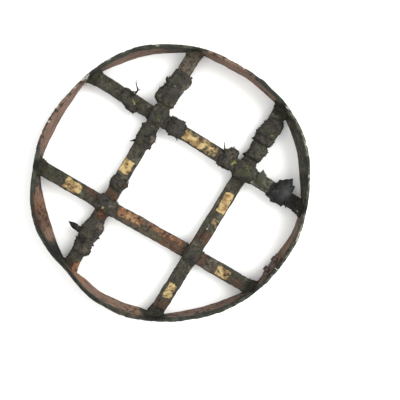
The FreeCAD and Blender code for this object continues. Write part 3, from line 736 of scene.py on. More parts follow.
def wrap_shell(bar, start, stop, left, right, over, under, seed, lumpy=1.0, ragged=1.2):
    """A growth round a bar: its reach to each side follows a line of shares and distances, its skin is
    folded and pitted by noise, and both ends close on the bar with a ragged lip."""
    share = np.linspace(0, 1, max(24, int((stop - start) / GROWTH_STEP)))
    stations = start + (stop - start) * share
    lip = ease(np.minimum(share, 1 - share), 0, 0.09)
    bar_wide, bar_high = BAR_WIDTH / 2 - 0.4, BAR_THICK / 2 - 0.4
    left, right = (bar_wide + (follow(line, share) - LITTER - bar_wide) * (0.25 + 0.75 * lip)
                   for line in (left, right))
    over, under = (bar_high + (follow(line, share) - bar_high) * (0.2 + 0.8 * lip)
                   for line in (over, under))
    left[[0, -1]], right[[0, -1]], over[[0, -1]], under[[0, -1]] = bar_wide, bar_wide, bar_high, bar_high
    rings, normals, place = section_rings(bar, stations, left, right, over, under, GROWTH_CORNER,
                                          GROWTH_SECTION)
    swell = 1.25 * noise(place, 8.5, seed) + 0.5 * noise(place, 4.2, seed + 3)
    swell = swell + 0.16 * rough(place, 1.9, seed + 4, 2)
    folds = ridged(place * [1.0, 0.7, 0.7], 7.5, seed + 5, 2) - 0.6
    pits = rough(place, 0.9, seed + 7, 2)
    body = lip[:, None]
    push = (0.85 * swell - 0.7 * np.maximum(folds, 0.0)) * lumpy * (0.15 + 0.85 * body) + 0.08 * pits
    rings = rings + normals * push[..., None]
    tear = rough(place * [0.0, 1.0, 1.0], 2.4, seed + 11, 3)
    near_start = (1 - ease(share, 0, 0.22))[:, None]
    near_stop = (1 - ease(1 - share, 0, 0.22))[:, None]
    slide = ragged * (tear * near_start + np.roll(tear, 9, axis=1) * near_stop)
    rings = rings + slide[..., None] * bar.along
    layers = stains(rings, normals[..., 2], seed=seed)
    # painted shade: the hollow layer darkens the folds and the places where the skin sinks in
    hollow = ease(folds + 0.1 * pits, 0.12, 0.42) + 0.6 * ease(-swell, 0.5, 1.6)
    shell = skin(rings, along=place[..., 0], around=place[..., 1] + place[..., 2], hollow=hollow,
                 tone=0 * hollow, **layers)
    return shell, rings, normals


def littered(shell, rings, normals, seed, flakes=0, crumbs=0, strands=0, flake_size=(1.8, 4.2),
             crumb_size=(0.6, 1.7), strand_size=(1.5, 4.5)):
    """A growth with scales, crumbs and fibres set on its skin, each stained as the skin is there."""
    generator = np.random.default_rng(seed)
    places, ups = rings[2:-2].reshape(-1, 3), normals[2:-2].reshape(-1, 3)
    bits = []
    if flakes:
        bits.append(flakes_on(places, ups, flakes, flake_size, generator))
    if crumbs:
        bits.append(crumbs_on(places, ups, crumbs, crumb_size, generator))
    if strands:
        bits.append(strands_on(places, ups, strands, strand_size, generator))
    for bit in bits:
        facing = BIT_FACING * np.sign(bit["points"][:, 2] - FRONT_HEIGHT)
        bit.update(stains(bit["points"], facing, seed=seed))
        bit["along"], bit["around"] = bit["points"][:, 0], bit["points"][:, 1]
    return gathered([shell] + bits)


# growths: the bar, then shares of its length and distances from the bar's middle line at its left,
# at its right, over it and under it
KNOTS = {
    "left_upright_top_knot": (
        "left_upright",
        [(0, 8.6), (.06, 11.6), (.17, 13.6), (.32, 12.6), (.45, 10.6), (.57, 9.6), (.63, 12.4), (.68, 10.2),
         (.8, 9.2), (.92, 8.6), (1, 7.6)],
        [(0, 7.8), (.1, 9.6), (.15, 8.6), (.3, 8.8), (.45, 9.4), (.6, 9.8), (.7, 11.4), (.82, 12.4),
         (.92, 11.4), (1, 8.0)],
        [(0, 5.0), (.3, 6.2), (.6, 5.6), (1, 4.6)], [(0, 4.6), (.4, 5.6), (1, 4.4)]),
    "left_upright_swelling": (
        "left_upright",
        [(0, 7.6), (.2, 8.6), (.4, 8.9), (.7, 8.4), (1, 8.2)],
        [(0, 7.4), (.25, 8.4), (.5, 9.8), (.7, 9.6), (.9, 8.4), (1, 8.2)],
        [(0, 4.4), (.5, 5.4), (1, 5.2)], [(0, 4.2), (.5, 5.2), (1, 4.6)]),
    "left_upright_collar": (
        "left_upright",
        [(0, 7.2), (.3, 8.2), (.6, 9.2), (1, 8.4)], [(0, 7.6), (.3, 8.8), (.6, 10.2), (.9, 9.2), (1, 7.6)],
        [(0, 4.2), (.6, 5.4), (1, 4.6)], [(0, 4.2), (.6, 5.4), (1, 4.6)]),
    "left_upright_foot": (
        "left_upright",
        [(0, 7.8), (.15, 8.8), (.4, 9.8), (.6, 10.2), (.8, 9.6), (.9, 8.4), (1, 7.2)],
        [(0, 9.8), (.05, 10.8), (.15, 11.2), (.25, 10), (.37, 9.6), (.5, 10.8), (.65, 10.4), (.76, 11.2),
         (.86, 9.4), (1, 7.6)],
        [(0, 4.6), (.4, 5.6), (.8, 5.2), (1, 4.2)], [(0, 4.6), (.4, 5.4), (.8, 5.4), (1, 4.2)]),
    "upper_cross_twig_knot": (
        "upper_cross",
        [(0, 7.2), (.3, 7.8), (.45, 8.2), (.6, 7.8), (1, 7.2)],
        [(0, 7.2), (.25, 7.8), (.45, 9), (.65, 10.4), (.85, 9.6), (1, 7.8)],
        [(0, 3.4), (.5, 4.8), (1, 3.8)], [(0, 3.4), (.5, 5.0), (1, 3.8)]),
    "upper_cross_inner_knot": (
        "upper_cross",
        [(0, 8.4), (.15, 9.8), (.4, 9.4), (.65, 10.4), (.8, 9.6), (1, 7.4)],
        [(0, 7.6), (.3, 8.2), (.6, 8.6), (1, 7.6)],
        [(0, 4.6), (.4, 5.8), (.8, 5.6), (1, 4.0)], [(0, 4.4), (.5, 5.6), (1, 4.2)]),
    "upper_cross_mid_knot": (
        "upper_cross",
        [(0, 8.5), (.2, 10), (.3, 12.6), (.5, 13.6), (.85, 14.2), (1, 11)],
        [(0, 7.4), (.25, 8.6), (.5, 8.4), (1, 7.8)],
        [(0, 4.6), (.4, 6.0), (.8, 6.0), (1, 5.0)], [(0, 4.4), (.5, 5.4), (1, 4.6)]),
    "right_upright_sleeve": (
        "right_upright",
        [(0, 9.6), (.15, 9.8), (.35, 10.6), (.6, 9.3), (.85, 7.8), (1, 7)],
        [(0, 9.0), (.12, 9.6), (.3, 9.8), (.6, 10.9), (.8, 10.2), (1, 9.4)],
        [(0, 5.2), (.4, 5.8), (1, 4.2)], [(0, 5.0), (.4, 5.6), (1, 4.2)]),
    "right_upright_lump": (
        "right_upright",
        [(0, 9.6), (.15, 9.2), (.4, 7.8), (1, 8.0)], [(0, 8.0), (.15, 9.0), (.4, 9.0), (.7, 9.4), (1, 8.2)],
        [(0, 5.2), (.5, 5.4), (1, 4.8)], [(0, 5.0), (.5, 5.4), (1, 4.8)]),
}


def span_on(bar, node):
    """From where to where along a bar a node reaches."""
    along = (vertices_mm(node) - bar.middle)[:, :2] @ bar.along[:2]
    return float(along.min()), float(along.max())


def knot_shell(name, seed):
    """One of the growths wrapped round a bar, with its litter."""
    bar_name, left, right, over, under = KNOTS[name]
    bar = ALL_BARS[bar_name]
    start, stop = span_on(bar, name)
    shell, rings, normals = wrap_shell(bar, start - 0.6, stop + 0.6, left, right, over, under, seed)
    length = stop - start
    return littered(shell, rings, normals, seed, flakes=int(length * 0.9), crumbs=int(length * 1.2),
                    strands=int(length * 0.5), flake_size=(1.8, 5.0), crumb_size=(0.5, 1.2))


def crossing_shell(name, seed):
    """The growth over a crossing: a sleeve on the bar in front and another on the bar behind."""
    low, high = corners_mm(name + "_crossing_lump")
    sleeves = []
    for number, bar_name in enumerate(CROSSINGS[name]):
        bar = ALL_BARS[bar_name]
        other = ALL_BARS[CROSSINGS[name][1 - number]]
        middle = bar.cross(other)
        lengthways = 0 if "cross" in bar_name else 1
        reach = (high - low)[lengthways] / 2 - 1.0
        wide = (high - low)[1 - lengthways] / 2 - 2.6
        side = [(0, 7.5), (.2, wide - 0.6), (.5, wide), (.8, wide - 0.4), (1, 7.6)]
        other_side = [(0, 7.4), (.25, wide), (.5, wide - 0.6), (.8, wide - 0.2), (1, 7.5)]
        high_side = [(0, 3.4), (.3, 5.0), (.6, 5.2), (1, 3.6)]
        shell, rings, normals = wrap_shell(bar, middle - reach, middle + reach, side, other_side, high_side,
                                           high_side, seed + 50 * number, lumpy=0.5, ragged=1.8)
        sleeves.append(littered(shell, rings, normals, seed + 50 * number, flakes=6, crumbs=24,
                                strands=4, flake_size=(1.6, 3.4), crumb_size=(0.5, 1.0)))
    return gathered(sleeves)


END_WAYS = {"foot": -1, "left": -1, "top": 1, "right": 1}
# how far the filler reaches along its bar, and how far short of the wall its widest ring is drawn
FILLER_REACH = 8.5
FILLER_GAP = 0.4
FILLER_RINGS = 40
FILLER_CORNER = 2.4


def filler_shell(name, seed):
    """The filler round a bar's end: a ragged cone of pulp, widest against the band."""
    bar_name, end = name.replace("putty_", "").rsplit("_", 1)
    bar, way = ALL_BARS[bar_name], END_WAYS[end]
    wall = float(wall_station(bar, way, 0.0)) - way * FILLER_GAP
    start, stop = sorted((wall, wall - way * FILLER_REACH))
    flare = [(0, 7.3), (.35, 7.7), (.7, 8.7), (.88, 10.0), (1, 10.6)]
    rise = [(0, 2.8), (.4, 3.2), (.75, 4.2), (1, 5.6)]
    if way < 0:
        flare = [(1 - share, value) for share, value in flare[::-1]]
        rise = [(1 - share, value) for share, value in rise[::-1]]
    share = np.linspace(0, 1, FILLER_RINGS)
    stations = start + (stop - start) * share
    sides, tall = follow(flare, share), follow(rise, share)
    rings, normals, place = section_rings(bar, stations, sides, sides, tall, tall, FILLER_CORNER,
                                          GROWTH_SECTION)
    near = ease(way * (stations - wall), -FILLER_REACH, 0.0)[:, None]
    slide = wall_station(bar, way, place[..., 1]) - wall - way * FILLER_GAP
    tear = rough(place * [0.0, 1.0, 1.0], 2.2, seed + 11, 3) * (1 - near) * 1.8
    rings = rings + (slide * near + tear)[..., None] * bar.along
    push = 0.42 * rough(place, 3.2, seed, 3) + 0.45 * (ridged(place, 3.6, seed + 5, 2) - 0.6)
    push = push * (0.35 + 0.65 * near)
    rings = rings + normals * push[..., None]
    layers = stains(rings, normals[..., 2], seed=seed)
    # painted shade: the hollow layer darkens the filler where its skin is pushed in
    shell = skin(rings, along=place[..., 0], around=place[..., 1] + place[..., 2], tone=0 * push,
                 hollow=ease(-push, 0.1, 0.5), **layers)
    return littered(shell, rings, normals, seed, flakes=8, crumbs=50, strands=4, flake_size=(1.2, 2.6),
                    crumb_size=(0.5, 1.2), strand_size=(1.0, 2.5))


# ---------------------------------------------------------------- leaves and twigs
def blade(root, tip, width, up, cup, curl, thick, crumple, seed, blunt=0.5, rows=26, columns=13):
    """A dry leaf: a centre line from root to tip bowed by an arc, a half width that swells and narrows
    as a sine, cupped across as a square, raised along a rib and crumpled by noise, as a closed slab."""
    root, tip, up = (np.asarray(value, float) for value in (root, tip, up))
    along = tip - root
    length = float(np.linalg.norm(along))
    along = along / length
    up = up - along * (up @ along)
    up = up / np.linalg.norm(up)
    across = np.cross(up, along)
    share = np.linspace(0, 1, rows)[:, None]
    over = np.linspace(1, -1, columns)
    side = np.concatenate([over, over[::-1]])[None]
    face = np.concatenate([np.ones(columns), -np.ones(columns)])[None]
    half = width / 2 * (0.30 + 0.70 * np.sin(np.pi * share ** 0.8)) * (1 - share ** 6) ** blunt + 0.05
    flat = np.stack([share * length + 0 * side, side * half, 0 * share + 0 * side], axis=-1)
    jag = rough(flat * [1.0, 0.3, 1.0], 3.2, seed + 3, 2)
    half = half * (1 + 0.16 * jag * np.abs(side))
    height = cup * (side ** 2 - 0.35) * half + curl * 4 * share * (1 - share)
    height = height + crumple * rough(flat, 4.5, seed, 3)
    height = height + 0.35 * np.exp(-(side / 0.14) ** 2) * (1 - share)
    veins = 0.12 * np.cos((np.abs(side) * half * 0.75 - share * length) * 2.4)
    height = height + veins * (np.abs(side) < 0.95)
    height = height + face * thick / 2 * (1.0 - 0.75 * np.abs(side) ** 4)
    points = (root + share[..., None] * length * along + (side * half)[..., None] * across
              + height[..., None] * up)
    tone = np.full(height.shape, np.random.default_rng(seed).uniform(-1, 1))
    shell = skin(points, tone=tone, along=share * length + 0 * side, around=side * half)
    shell.update(stains(shell["points"], np.ones(len(shell["points"])), seed=seed))
    return shell


TWIG_RINGS = 34
TWIG_SIDES = 9


def twig(points, radii, seed):
    """A twig: circles carried along a smoothed line through a few points, thinning and knobbly."""
    points, radii = np.asarray(points, float), np.asarray(radii, float)
    stops = np.linspace(0, 1, len(points))
    share = np.linspace(0, 1, TWIG_RINGS)
    window = np.linspace(-0.09, 0.09, 7)
    line = np.mean([np.stack([np.interp(share + step, stops, points[:, axis]) for axis in range(3)], axis=-1)
                    for step in window], axis=0)
    line[0], line[-1] = points[0], points[-1]
    heading = np.gradient(line, axis=0)
    heading /= np.linalg.norm(heading, axis=-1, keepdims=True)
    first = np.cross(heading, [0.31, 0.17, 0.93])
    first /= np.linalg.norm(first, axis=-1, keepdims=True)
    second = np.cross(heading, first)
    turn = np.linspace(0, 2 * np.pi, TWIG_SIDES, endpoint=False)
    radius = np.interp(share, stops, radii)[:, None]
    rings = line[:, None] + radius[..., None] * (np.cos(turn)[None, :, None] * first[:, None]
                                                 + np.sin(turn)[None, :, None] * second[:, None])
    spread = rough(rings, 1.3, seed, 2)[..., None]
    rings = rings + (rings - line[:, None]) * 0.28 * spread
    return skin(rings, along=share[:, None] * 20 + 0 * turn, around=turn[None] + 0 * radius,
                tone=0 * radius + 0 * turn)


BUNDLE_MIDDLE = (97.0, 47.5)
# where a painted highlight lays grey on its leaves, and how far from there
HIGHLIGHT_SPOT = (100.6, 51.0)
HIGHLIGHT_REACH = 6.5
# the point its creases fan out from
CREASE_ROOT = (88.0, 33.0)
# the height of the pouch's middle, how far it reaches over and under it, and where the leaves stop
POUCH_HEIGHT = 10.4
POUCH_RISE = 6.0
BUNDLE_LOW, BUNDLE_HIGH = 3.0, 20.5
# the bundle's outline seen from the front: corners of its pouch, in order round its middle
BUNDLE_OUTLINE = [(85.4, 39.0), (87.4, 37.2), (92.5, 36.2), (98.5, 35.6), (103.6, 36.6), (106.6, 40.7),
                  (107.6, 47.2), (106.6, 52.4), (104.0, 58.4), (100.6, 60.8), (95.6, 61.2), (90.6, 57.4),
                  (87.8, 48.4), (86.0, 42.5)]
# leaves wrapped over the pouch: root, tip, width, cup, curl, tone from dark to light
BUNDLE_LEAVES = [
    ((96.0, 47.0, 15.0), (99.4, 65.0, 13.0), 10.0, -0.45, 2.6, -1.0),
    ((98.0, 49.0, 15.6), (105.0, 59.8, 12.6), 9.0, -0.4, 2.0, -1.0),
    ((95.0, 45.4, 15.8), (107.0, 52.6, 12.4), 12.5, -0.35, 2.6, 1.0),
    ((92.5, 44.0, 15.6), (105.2, 42.0, 12.5), 12.5, -0.4, 2.8, 0.7),
    ((98.0, 46.5, 15.0), (84.6, 38.0, 10.0), 10.0, -0.5, 3.2, -0.8),
    ((98.0, 50.0, 14.6), (89.4, 58.0, 11.5), 13.0, -0.4, 2.8, -0.3),
    ((97.0, 48.0, 14.2), (96.0, 62.4, 11.8), 13.0, -0.4, 2.6, -0.4),
    ((98.0, 46.0, 14.0), (103.8, 35.8, 10.0), 10.0, -0.4, 2.2, -0.6),
    ((96.0, 45.0, 14.0), (92.4, 35.0, 9.5), 12.0, -0.45, 2.4, -0.7),
    ((97.0, 47.0, 6.6), (91.0, 58.0, 7.0), 13.0, 0.4, -1.8, -0.5),
    ((97.0, 47.0, 6.2), (107.0, 52.0, 7.0), 13.0, 0.4, -1.8, 0.0),
    ((97.0, 47.0, 6.6), (103.0, 37.0, 7.0), 12.0, 0.4, -1.6, -0.6),
    ((97.0, 47.0, 6.4), (86.0, 40.0, 7.0), 12.0, 0.4, -1.8, -0.3),
]


def pouch_shell(seed):
    """The folded middle of the bundle: its outline drawn in towards both poles as a cosine power, with
    creases that fan out from one corner."""
    corners = np.array(BUNDLE_OUTLINE) - BUNDLE_MIDDLE
    directions = np.unwrap(np.arctan2(corners[:, 1], corners[:, 0]))
    distances = np.hypot(corners[:, 0], corners[:, 1])
    turn = directions[0] + np.linspace(0, 2 * np.pi, 120, endpoint=False)[None]
    reach = np.interp(turn, np.append(directions, directions[0] + 2 * np.pi),
                      np.append(distances, distances[0]))
    climb = np.radians(np.linspace(-84, 84, 44))[:, None]
    share = np.cos(climb) ** 0.55
    radius = reach * share * 0.97
    height = POUCH_HEIGHT + POUCH_RISE * np.sign(climb) * np.abs(np.sin(climb)) ** 1.15
    x = BUNDLE_MIDDLE[0] + radius * np.cos(turn)
    y = BUNDLE_MIDDLE[1] + radius * np.sin(turn)
    fan = np.arctan2(y - CREASE_ROOT[1], x - CREASE_ROOT[0])
    far = np.hypot(y - CREASE_ROOT[1], x - CREASE_ROOT[0])
    creases = np.cos(fan * 21 + 0.9 * np.sin(far * 0.35)) * ease(far, 3, 12)
    points = np.stack([x, y, height + 0 * x], axis=-1)
    crumple = rough(points, 5.0, seed, 3)
    points[..., 2] += (0.55 * creases + 0.8 * crumple) * np.sin(climb) * 0.9
    swing = 1 + 0.03 * rough(points, 3.0, seed + 5, 2)
    points[..., :2] = BUNDLE_MIDDLE + (points[..., :2] - BUNDLE_MIDDLE) * swing[..., None]
    # painted light: the tone rises towards +X, the side the light comes from, and along the crease ridges
    tone = np.clip((x - 95.0) / 9.0 - (y - 50.0) * 0.03 + 0.5 * creases, -1, 1)
    # painted shade: the hollow layer darkens the crease troughs
    hollow = ease(-creases - crumple * 0.5, 0.3, 1.2) * 0.7
    return skin(points, tone=tone, hollow=hollow, along=far, around=fan * 12)


def bundle_shell():
    """The leaf bundle: a folded pouch on the bar, with cupped leaves wrapped over and under it."""
    leaves = []
    for number, (root, tip, width, cup, curl, tone) in enumerate(BUNDLE_LEAVES):
        leaf = blade(root, tip, width, (0.1, 0.1, 1.0), cup, curl, 0.75, 0.5, 820 + number, blunt=0.6)
        leaf["tone"] = np.full(len(leaf["points"]), 0.25 * tone)
        leaves.append(leaf)
    whole = gathered([pouch_shell(811)] + leaves)
    # painted highlight: grey laid on the leaves round this spot and fading away from it, with a little of
    # each leaf's own tone
    gap = np.hypot(*(whole["points"][:, :2] - HIGHLIGHT_SPOT).T) / HIGHLIGHT_REACH
    whole["tone"] = 0.35 * whole["tone"] + 1.5 * np.exp(-gap ** 2) - 0.75
    whole["points"][:, 2] = np.clip(whole["points"][:, 2], BUNDLE_LOW, BUNDLE_HIGH)
    return whole


# ---------------------------------------------------------------- materials
def add_node(material, kind, inputs=(), **settings):
    """A node with its settings, whose sockets are given values or linked to other nodes' outputs."""
    node = material.node_tree.nodes.new(kind)
    for name, value in settings.items():
        setattr(node, name, value)
    for socket, value in inputs:
        if isinstance(value, bpy.types.NodeSocket):
            material.node_tree.links.new(value, node.inputs[socket])
        else:
            node.inputs[socket].default_value = value
    return node


def per_metre(size_mm):
    """The scale of a pattern on Object coordinates whose cells are this many millimetres."""
    return 1000.0 / size_mm


# where on the cloud pattern the first ground colour lies and how far from it the last
CLOUD_LOW = 0.36
CLOUD_SPAN = 0.3
# how sharply the patch pattern breaks a stain up, and by how much it lowers it
BREAK_GAIN = 3.2
BREAK_SHIFT = -0.6


def crusted(name, tones, stain_colours, grain_mm=1.6, grain_strength=0.5, stretch=0.1, cloud_mm=9.0,
            patch_mm=3.4, speck_mm=1.1, blotch=0.7, roughness=(0.62, 0.92), bump_mm=0.25, specular=0.14,
            metallic=0.0, hollow=0.55, tone_share=0.3, streak=0.0):
    """A weathered surface laid up in coats: cloudy ground colours, grain along the piece, dark and light
    blotches, then stains one over another where their layers and a finer pattern say, dark specks, painted
    shade darkening the hollows, and a fine bump."""
    material = bpy.data.materials.new(name)
    material.use_nodes = True
    material.node_tree.nodes.clear()
    place = add_node(material, "ShaderNodeTexCoord").outputs["Object"]
    layers = {}
    for layer in ("along", "around", "tone", "hollow", *stain_colours):
        layers[layer] = add_node(material, "ShaderNodeAttribute", attribute_name=layer).outputs["Fac"]
    run = add_node(material, "ShaderNodeMath", [(0, layers["along"]), (1, stretch)], operation="MULTIPLY")
    line = add_node(material, "ShaderNodeCombineXYZ",
                    [("X", run.outputs[0]), ("Y", layers["around"])]).outputs[0]
    patterns = {}
    for pattern, vector, scale, detail in (("cloud", place, per_metre(cloud_mm), 4.0),
                                           ("patch", place, per_metre(patch_mm), 5.0),
                                           ("speck", place, per_metre(speck_mm), 3.0),
                                           ("grain", line, 1.0 / grain_mm, 5.0),
                                           ("scratch", line, 1.4, 2.0)):
        inputs = [("Vector", vector), ("Scale", scale), ("Detail", detail), ("Roughness", 0.62)]
        patterns[pattern] = add_node(material, "ShaderNodeTexNoise", inputs).outputs[0]
    ramp = add_node(material, "ShaderNodeValToRGB", [(0, patterns["cloud"])])
    elements = ramp.color_ramp.elements
    elements[0].position, elements[0].color = CLOUD_LOW, tones[0]
    elements[1].position, elements[1].color = CLOUD_LOW + CLOUD_SPAN, tones[-1]
    for number, tone in enumerate(tones[1:-1], start=1):
        elements.new(CLOUD_LOW + CLOUD_SPAN * number / (len(tones) - 1)).color = tone
    breaks = add_node(material, "ShaderNodeMath", [(0, patterns["patch"]), (1, BREAK_GAIN), (2, BREAK_SHIFT)],
                      operation="MULTIPLY_ADD").outputs[0]
    # each coat: what it follows, from and to which value, its share at each, its colour and second colour
    coats = [
        (patterns["grain"], 0.36, 0.56, grain_strength, 0.0, tones[0], None),
        # the tone layer is random tone on the litter and single leaves, and on the leaf bundle it is painted
        # highlight
        (layers["tone"], -1.0, 1.0, 0.0, tone_share, tones[-1], None),
        (patterns["patch"], 0.36, 0.50, blotch, 0.0, tones[0], None),
        (patterns["speck"], 0.54, 0.68, 0.0, blotch * 0.55, tones[-1], None),
    ]
    for layer, (first, second, tint, reach, soft, strength) in stain_colours.items():
        cover = add_node(material, "ShaderNodeMath", [(0, layers[layer]), (1, breaks)], operation="MULTIPLY")
        coats.append((cover.outputs[0], reach, reach + soft, 0.0, strength, first, (second, patterns[tint])))
    coats += [
        (patterns["speck"], 0.30, 0.42, blotch * 0.35, 0.0, tones[0], None),
        # painted shade: the hollow layer darkens folds and creases towards the first ground colour
        (layers["hollow"], 0.0, 1.0, 0.0, hollow, tones[0], None),
        (patterns["scratch"], 0.64, 0.72, 0.0, streak, tones[-1], None),
    ]
    colour = ramp.outputs[0]
    for source, low, high, share_low, share_high, tint, other in coats:
        if other is not None:
            spread = add_node(material, "ShaderNodeMapRange", [("Value", other[1]), ("From Min", 0.38),
                              ("From Max", 0.60)], interpolation_type="SMOOTHSTEP")
            tint = add_node(material, "ShaderNodeMix", [(0, spread.outputs[0]), (6, tint), (7, other[0])],
                            data_type="RGBA").outputs[2]
        share = add_node(material, "ShaderNodeMapRange", [("Value", source), ("From Min", low),
                         ("From Max", high), ("To Min", share_low), ("To Max", share_high)],
                         interpolation_type="SMOOTHSTEP")
        colour = add_node(material, "ShaderNodeMix", [(0, share.outputs[0]), (6, colour), (7, tint)],
                          data_type="RGBA").outputs[2]
    shine = add_node(material, "ShaderNodeMapRange", [("Value", patterns["patch"]), ("From Min", 0.3),
                     ("From Max", 0.7), ("To Min", roughness[0]), ("To Max", roughness[1])]).outputs[0]
    height = patterns["patch"]
    for pattern, amount in (("speck", 0.55), ("grain", 0.6)):
        height = add_node(material, "ShaderNodeMath", [(0, patterns[pattern]), (1, amount), (2, height)],
                          operation="MULTIPLY_ADD").outputs[0]
    bump = add_node(material, "ShaderNodeBump", [("Height", height), ("Strength", 0.9),
                    ("Distance", bump_mm * MM)]).outputs[0]
    surface = add_node(material, "ShaderNodeBsdfPrincipled", [("Base Color", colour), ("Roughness", shine),
                       ("Normal", bump), ("Specular IOR Level", specular), ("Metallic", metallic)])
    add_node(material, "ShaderNodeOutputMaterial", [("Surface", surface.outputs[0])])
    return material


def stain_set(shades, **others):
    """The stains in the order they are laid: each one's two colours, the pattern that spreads them, where
    it starts, how softly it fades and how strong it is."""
    laid = {
        "buff": (shades.buff_dark, shades.buff, "patch", 0.15, 0.7, 0.85),
        "ashen": (shades.ashen_green, shades.ashen, "speck", 0.35, 0.5, 0.8),
        "rust": (shades.rust_dark, shades.rust, "grain", 0.35, 0.45, 0.85),
        "orange": (shades.rust, shades.orange, "patch", 0.32, 0.55, 0.9),
        "tan": (shades.tan, shades.tan_pale, "cloud", 0.28, 0.5, 0.95),
        "moss": (shades.moss_dark, shades.moss, "speck", 0.40, 0.5, 0.7),
        "sprig": (shades.moss, shades.sprig, "speck", 0.35, 0.4, 0.85),
        "soot": (shades.soot, shades.soot, "speck", 0.35, 0.4, 0.9),
        "pale": (shades.ashen, shades.pale, "speck", 0.45, 0.3, 0.9),
    }
    laid.update(others)
    return laid


def band_material(shades, sizes):
    """Steam-bent ash, painted over and weathered: long grain lines, brown inside, black-green edge."""
    blushed = stain_set(shades, rust=(shades.blush_dark, shades.blush, "grain", 0.34, 0.3, 0.92))
    return crusted("bent_ash_band", [shades.rim_dark, shades.rim, shades.rim_light], blushed,
                   grain_strength=0.45, stretch=0.07, cloud_mm=8.0, patch_mm=4.0, blotch=0.45, streak=0.45,
                   roughness=(0.6, 0.9), bump_mm=sizes.grain_depth)


def bar_material(shades, sizes):
    """Sawn pine under flaking paint: cloudy brown-grey and green, bare yellow wood where it has gone."""
    return crusted("flaking_pine_bar", [shades.wood_dark, shades.wood, shades.wood_green, shades.wood_light],
                   stain_set(shades), grain_mm=1.3, grain_strength=0.45, stretch=0.12, cloud_mm=7.0,
                   blotch=0.85, bump_mm=sizes.grain_depth)


def growth_material(shades, sizes):
    """Paper pulp dried hard round the bars: matt and lumpy, with painted shade making it nearly black in its
    folds.
    """
    tones = [shades.growth_dark, shades.growth, shades.growth_grey, shades.growth_green, shades.growth_light]
    return crusted("dried_pulp_growth", tones, stain_set(shades), cloud_mm=7.5, patch_mm=3.2, blotch=0.55,
                   grain_strength=0.1, stretch=1.0, roughness=(0.72, 0.97), bump_mm=sizes.grain_depth * 1.2,
                   specular=0.1, hollow=0.7, tone_share=0.35)


def filler_material(shades, sizes):
    """Wood filler pressed round the bar ends and stained: a little smoother than the pulp."""
    return crusted("stained_wood_filler", [shades.wood_dark, shades.wood, shades.wood_green],
                   stain_set(shades), cloud_mm=4.5, grain_strength=0.15, stretch=1.0,
                   roughness=(0.68, 0.95), bump_mm=sizes.grain_depth, specular=0.1)


def leaf_material(shades, sizes):
    """Dry leaves gone black: a dull skin with a faint sheen along folds and veins, and a grey painted
    highlight where the tone layer lifts it.
    """
    stained = {
        "moss": (shades.moss_dark, shades.moss, "speck", 0.55, 0.3, 0.5),
        "ashen": (shades.ashen_green, shades.ashen, "speck", 0.6, 0.3, 0.4),
    }
    return crusted("blackened_dry_leaf", [shades.leaf_dark, shades.leaf, shades.leaf, shades.leaf_bloom_and_highlight],
                   stained, grain_mm=0.9, grain_strength=0.3, stretch=0.3, cloud_mm=6.0, blotch=0.5,
                   roughness=(0.5, 0.85), bump_mm=sizes.grain_depth * 0.8, specular=0.2, tone_share=0.75)


def green_leaf_material(shades, sizes):
    """A leaf that still has some green under its grey bloom."""
    stained = {
        "moss": (shades.moss_dark, shades.moss, "speck", 0.45, 0.3, 0.7),
        "sprig": (shades.moss, shades.sprig, "speck", 0.5, 0.3, 0.6),
    }
    return crusted("grey_green_leaf", [shades.wood_green, shades.growth_grey, shades.ashen_green],
                   stained, grain_mm=0.9, grain_strength=0.3, stretch=0.3, cloud_mm=4.0, blotch=0.4,
                   roughness=(0.6, 0.9), bump_mm=sizes.grain_depth * 0.8)


def twig_material(shades, sizes):
    """Bare twigs: thin bark, dark with lighter ridges along them."""
    return crusted("dark_twig_bark", [shades.leaf_dark, shades.soot, shades.wood],
                   {"moss": (shades.moss_dark, shades.moss, "speck", 0.6, 0.3, 0.4)}, grain_mm=0.5,
                   grain_strength=0.5, stretch=0.2, cloud_mm=3.0, roughness=(0.6, 0.9),
                   bump_mm=sizes.grain_depth * 0.5)


def iron_material(shades, sizes):
    """Wrought iron nails and rivets, rusted all over: dark scale with orange bloom, dull metal between."""
    return crusted("rusted_iron", [shades.soot, shades.rust_dark, shades.rust], {}, cloud_mm=1.8,
                   grain_strength=0.1, stretch=1.0, speck_mm=0.4, roughness=(0.55, 0.9),
                   bump_mm=sizes.grain_depth * 0.5, specular=0.5, metallic=0.35)


def splice_material(shades, sizes):
    """Rolled sheet iron, painted and rusted through: brown scale over the remains of dark paint."""
    return crusted("rusted_sheet_iron", [shades.rim_dark, shades.rust_dark, shades.rust], {},
                   cloud_mm=5.0, grain_strength=0.1, stretch=1.0, speck_mm=0.6, roughness=(0.5, 0.85),
                   bump_mm=sizes.grain_depth * 0.6, specular=0.5, metallic=0.3)


def floor_material(shades):
    """Seamless studio paper: matt and plain, with a tooth too fine to see but as a soft dullness."""
    material = bpy.data.materials.new("studio_paper")
    material.use_nodes = True
    material.node_tree.nodes.clear()
    place = add_node(material, "ShaderNodeTexCoord").outputs["Object"]
    tooth = add_node(material, "ShaderNodeTexNoise",
                     [("Vector", place), ("Scale", per_metre(1.0))]).outputs[0]
    bump = add_node(material, "ShaderNodeBump", [("Height", tooth), ("Strength", 0.05),
                    ("Distance", 0.05 * MM)]).outputs[0]
    surface = add_node(material, "ShaderNodeBsdfPrincipled", [("Base Color", shades.paper),
                       ("Roughness", 0.95), ("Normal", bump), ("Specular IOR Level", 0.1)])
    add_node(material, "ShaderNodeOutputMaterial", [("Surface", surface.outputs[0])])
    return material


# ---------------------------------------------------------------- what a user may change
def shade(label, note, hex_code):
    """A colour property with its default from an sRGB hex value."""
    return FloatVectorProperty(name=label, description=note, subtype="COLOR", size=4, min=0.0, max=1.0,
                               default=linear(hex_code))


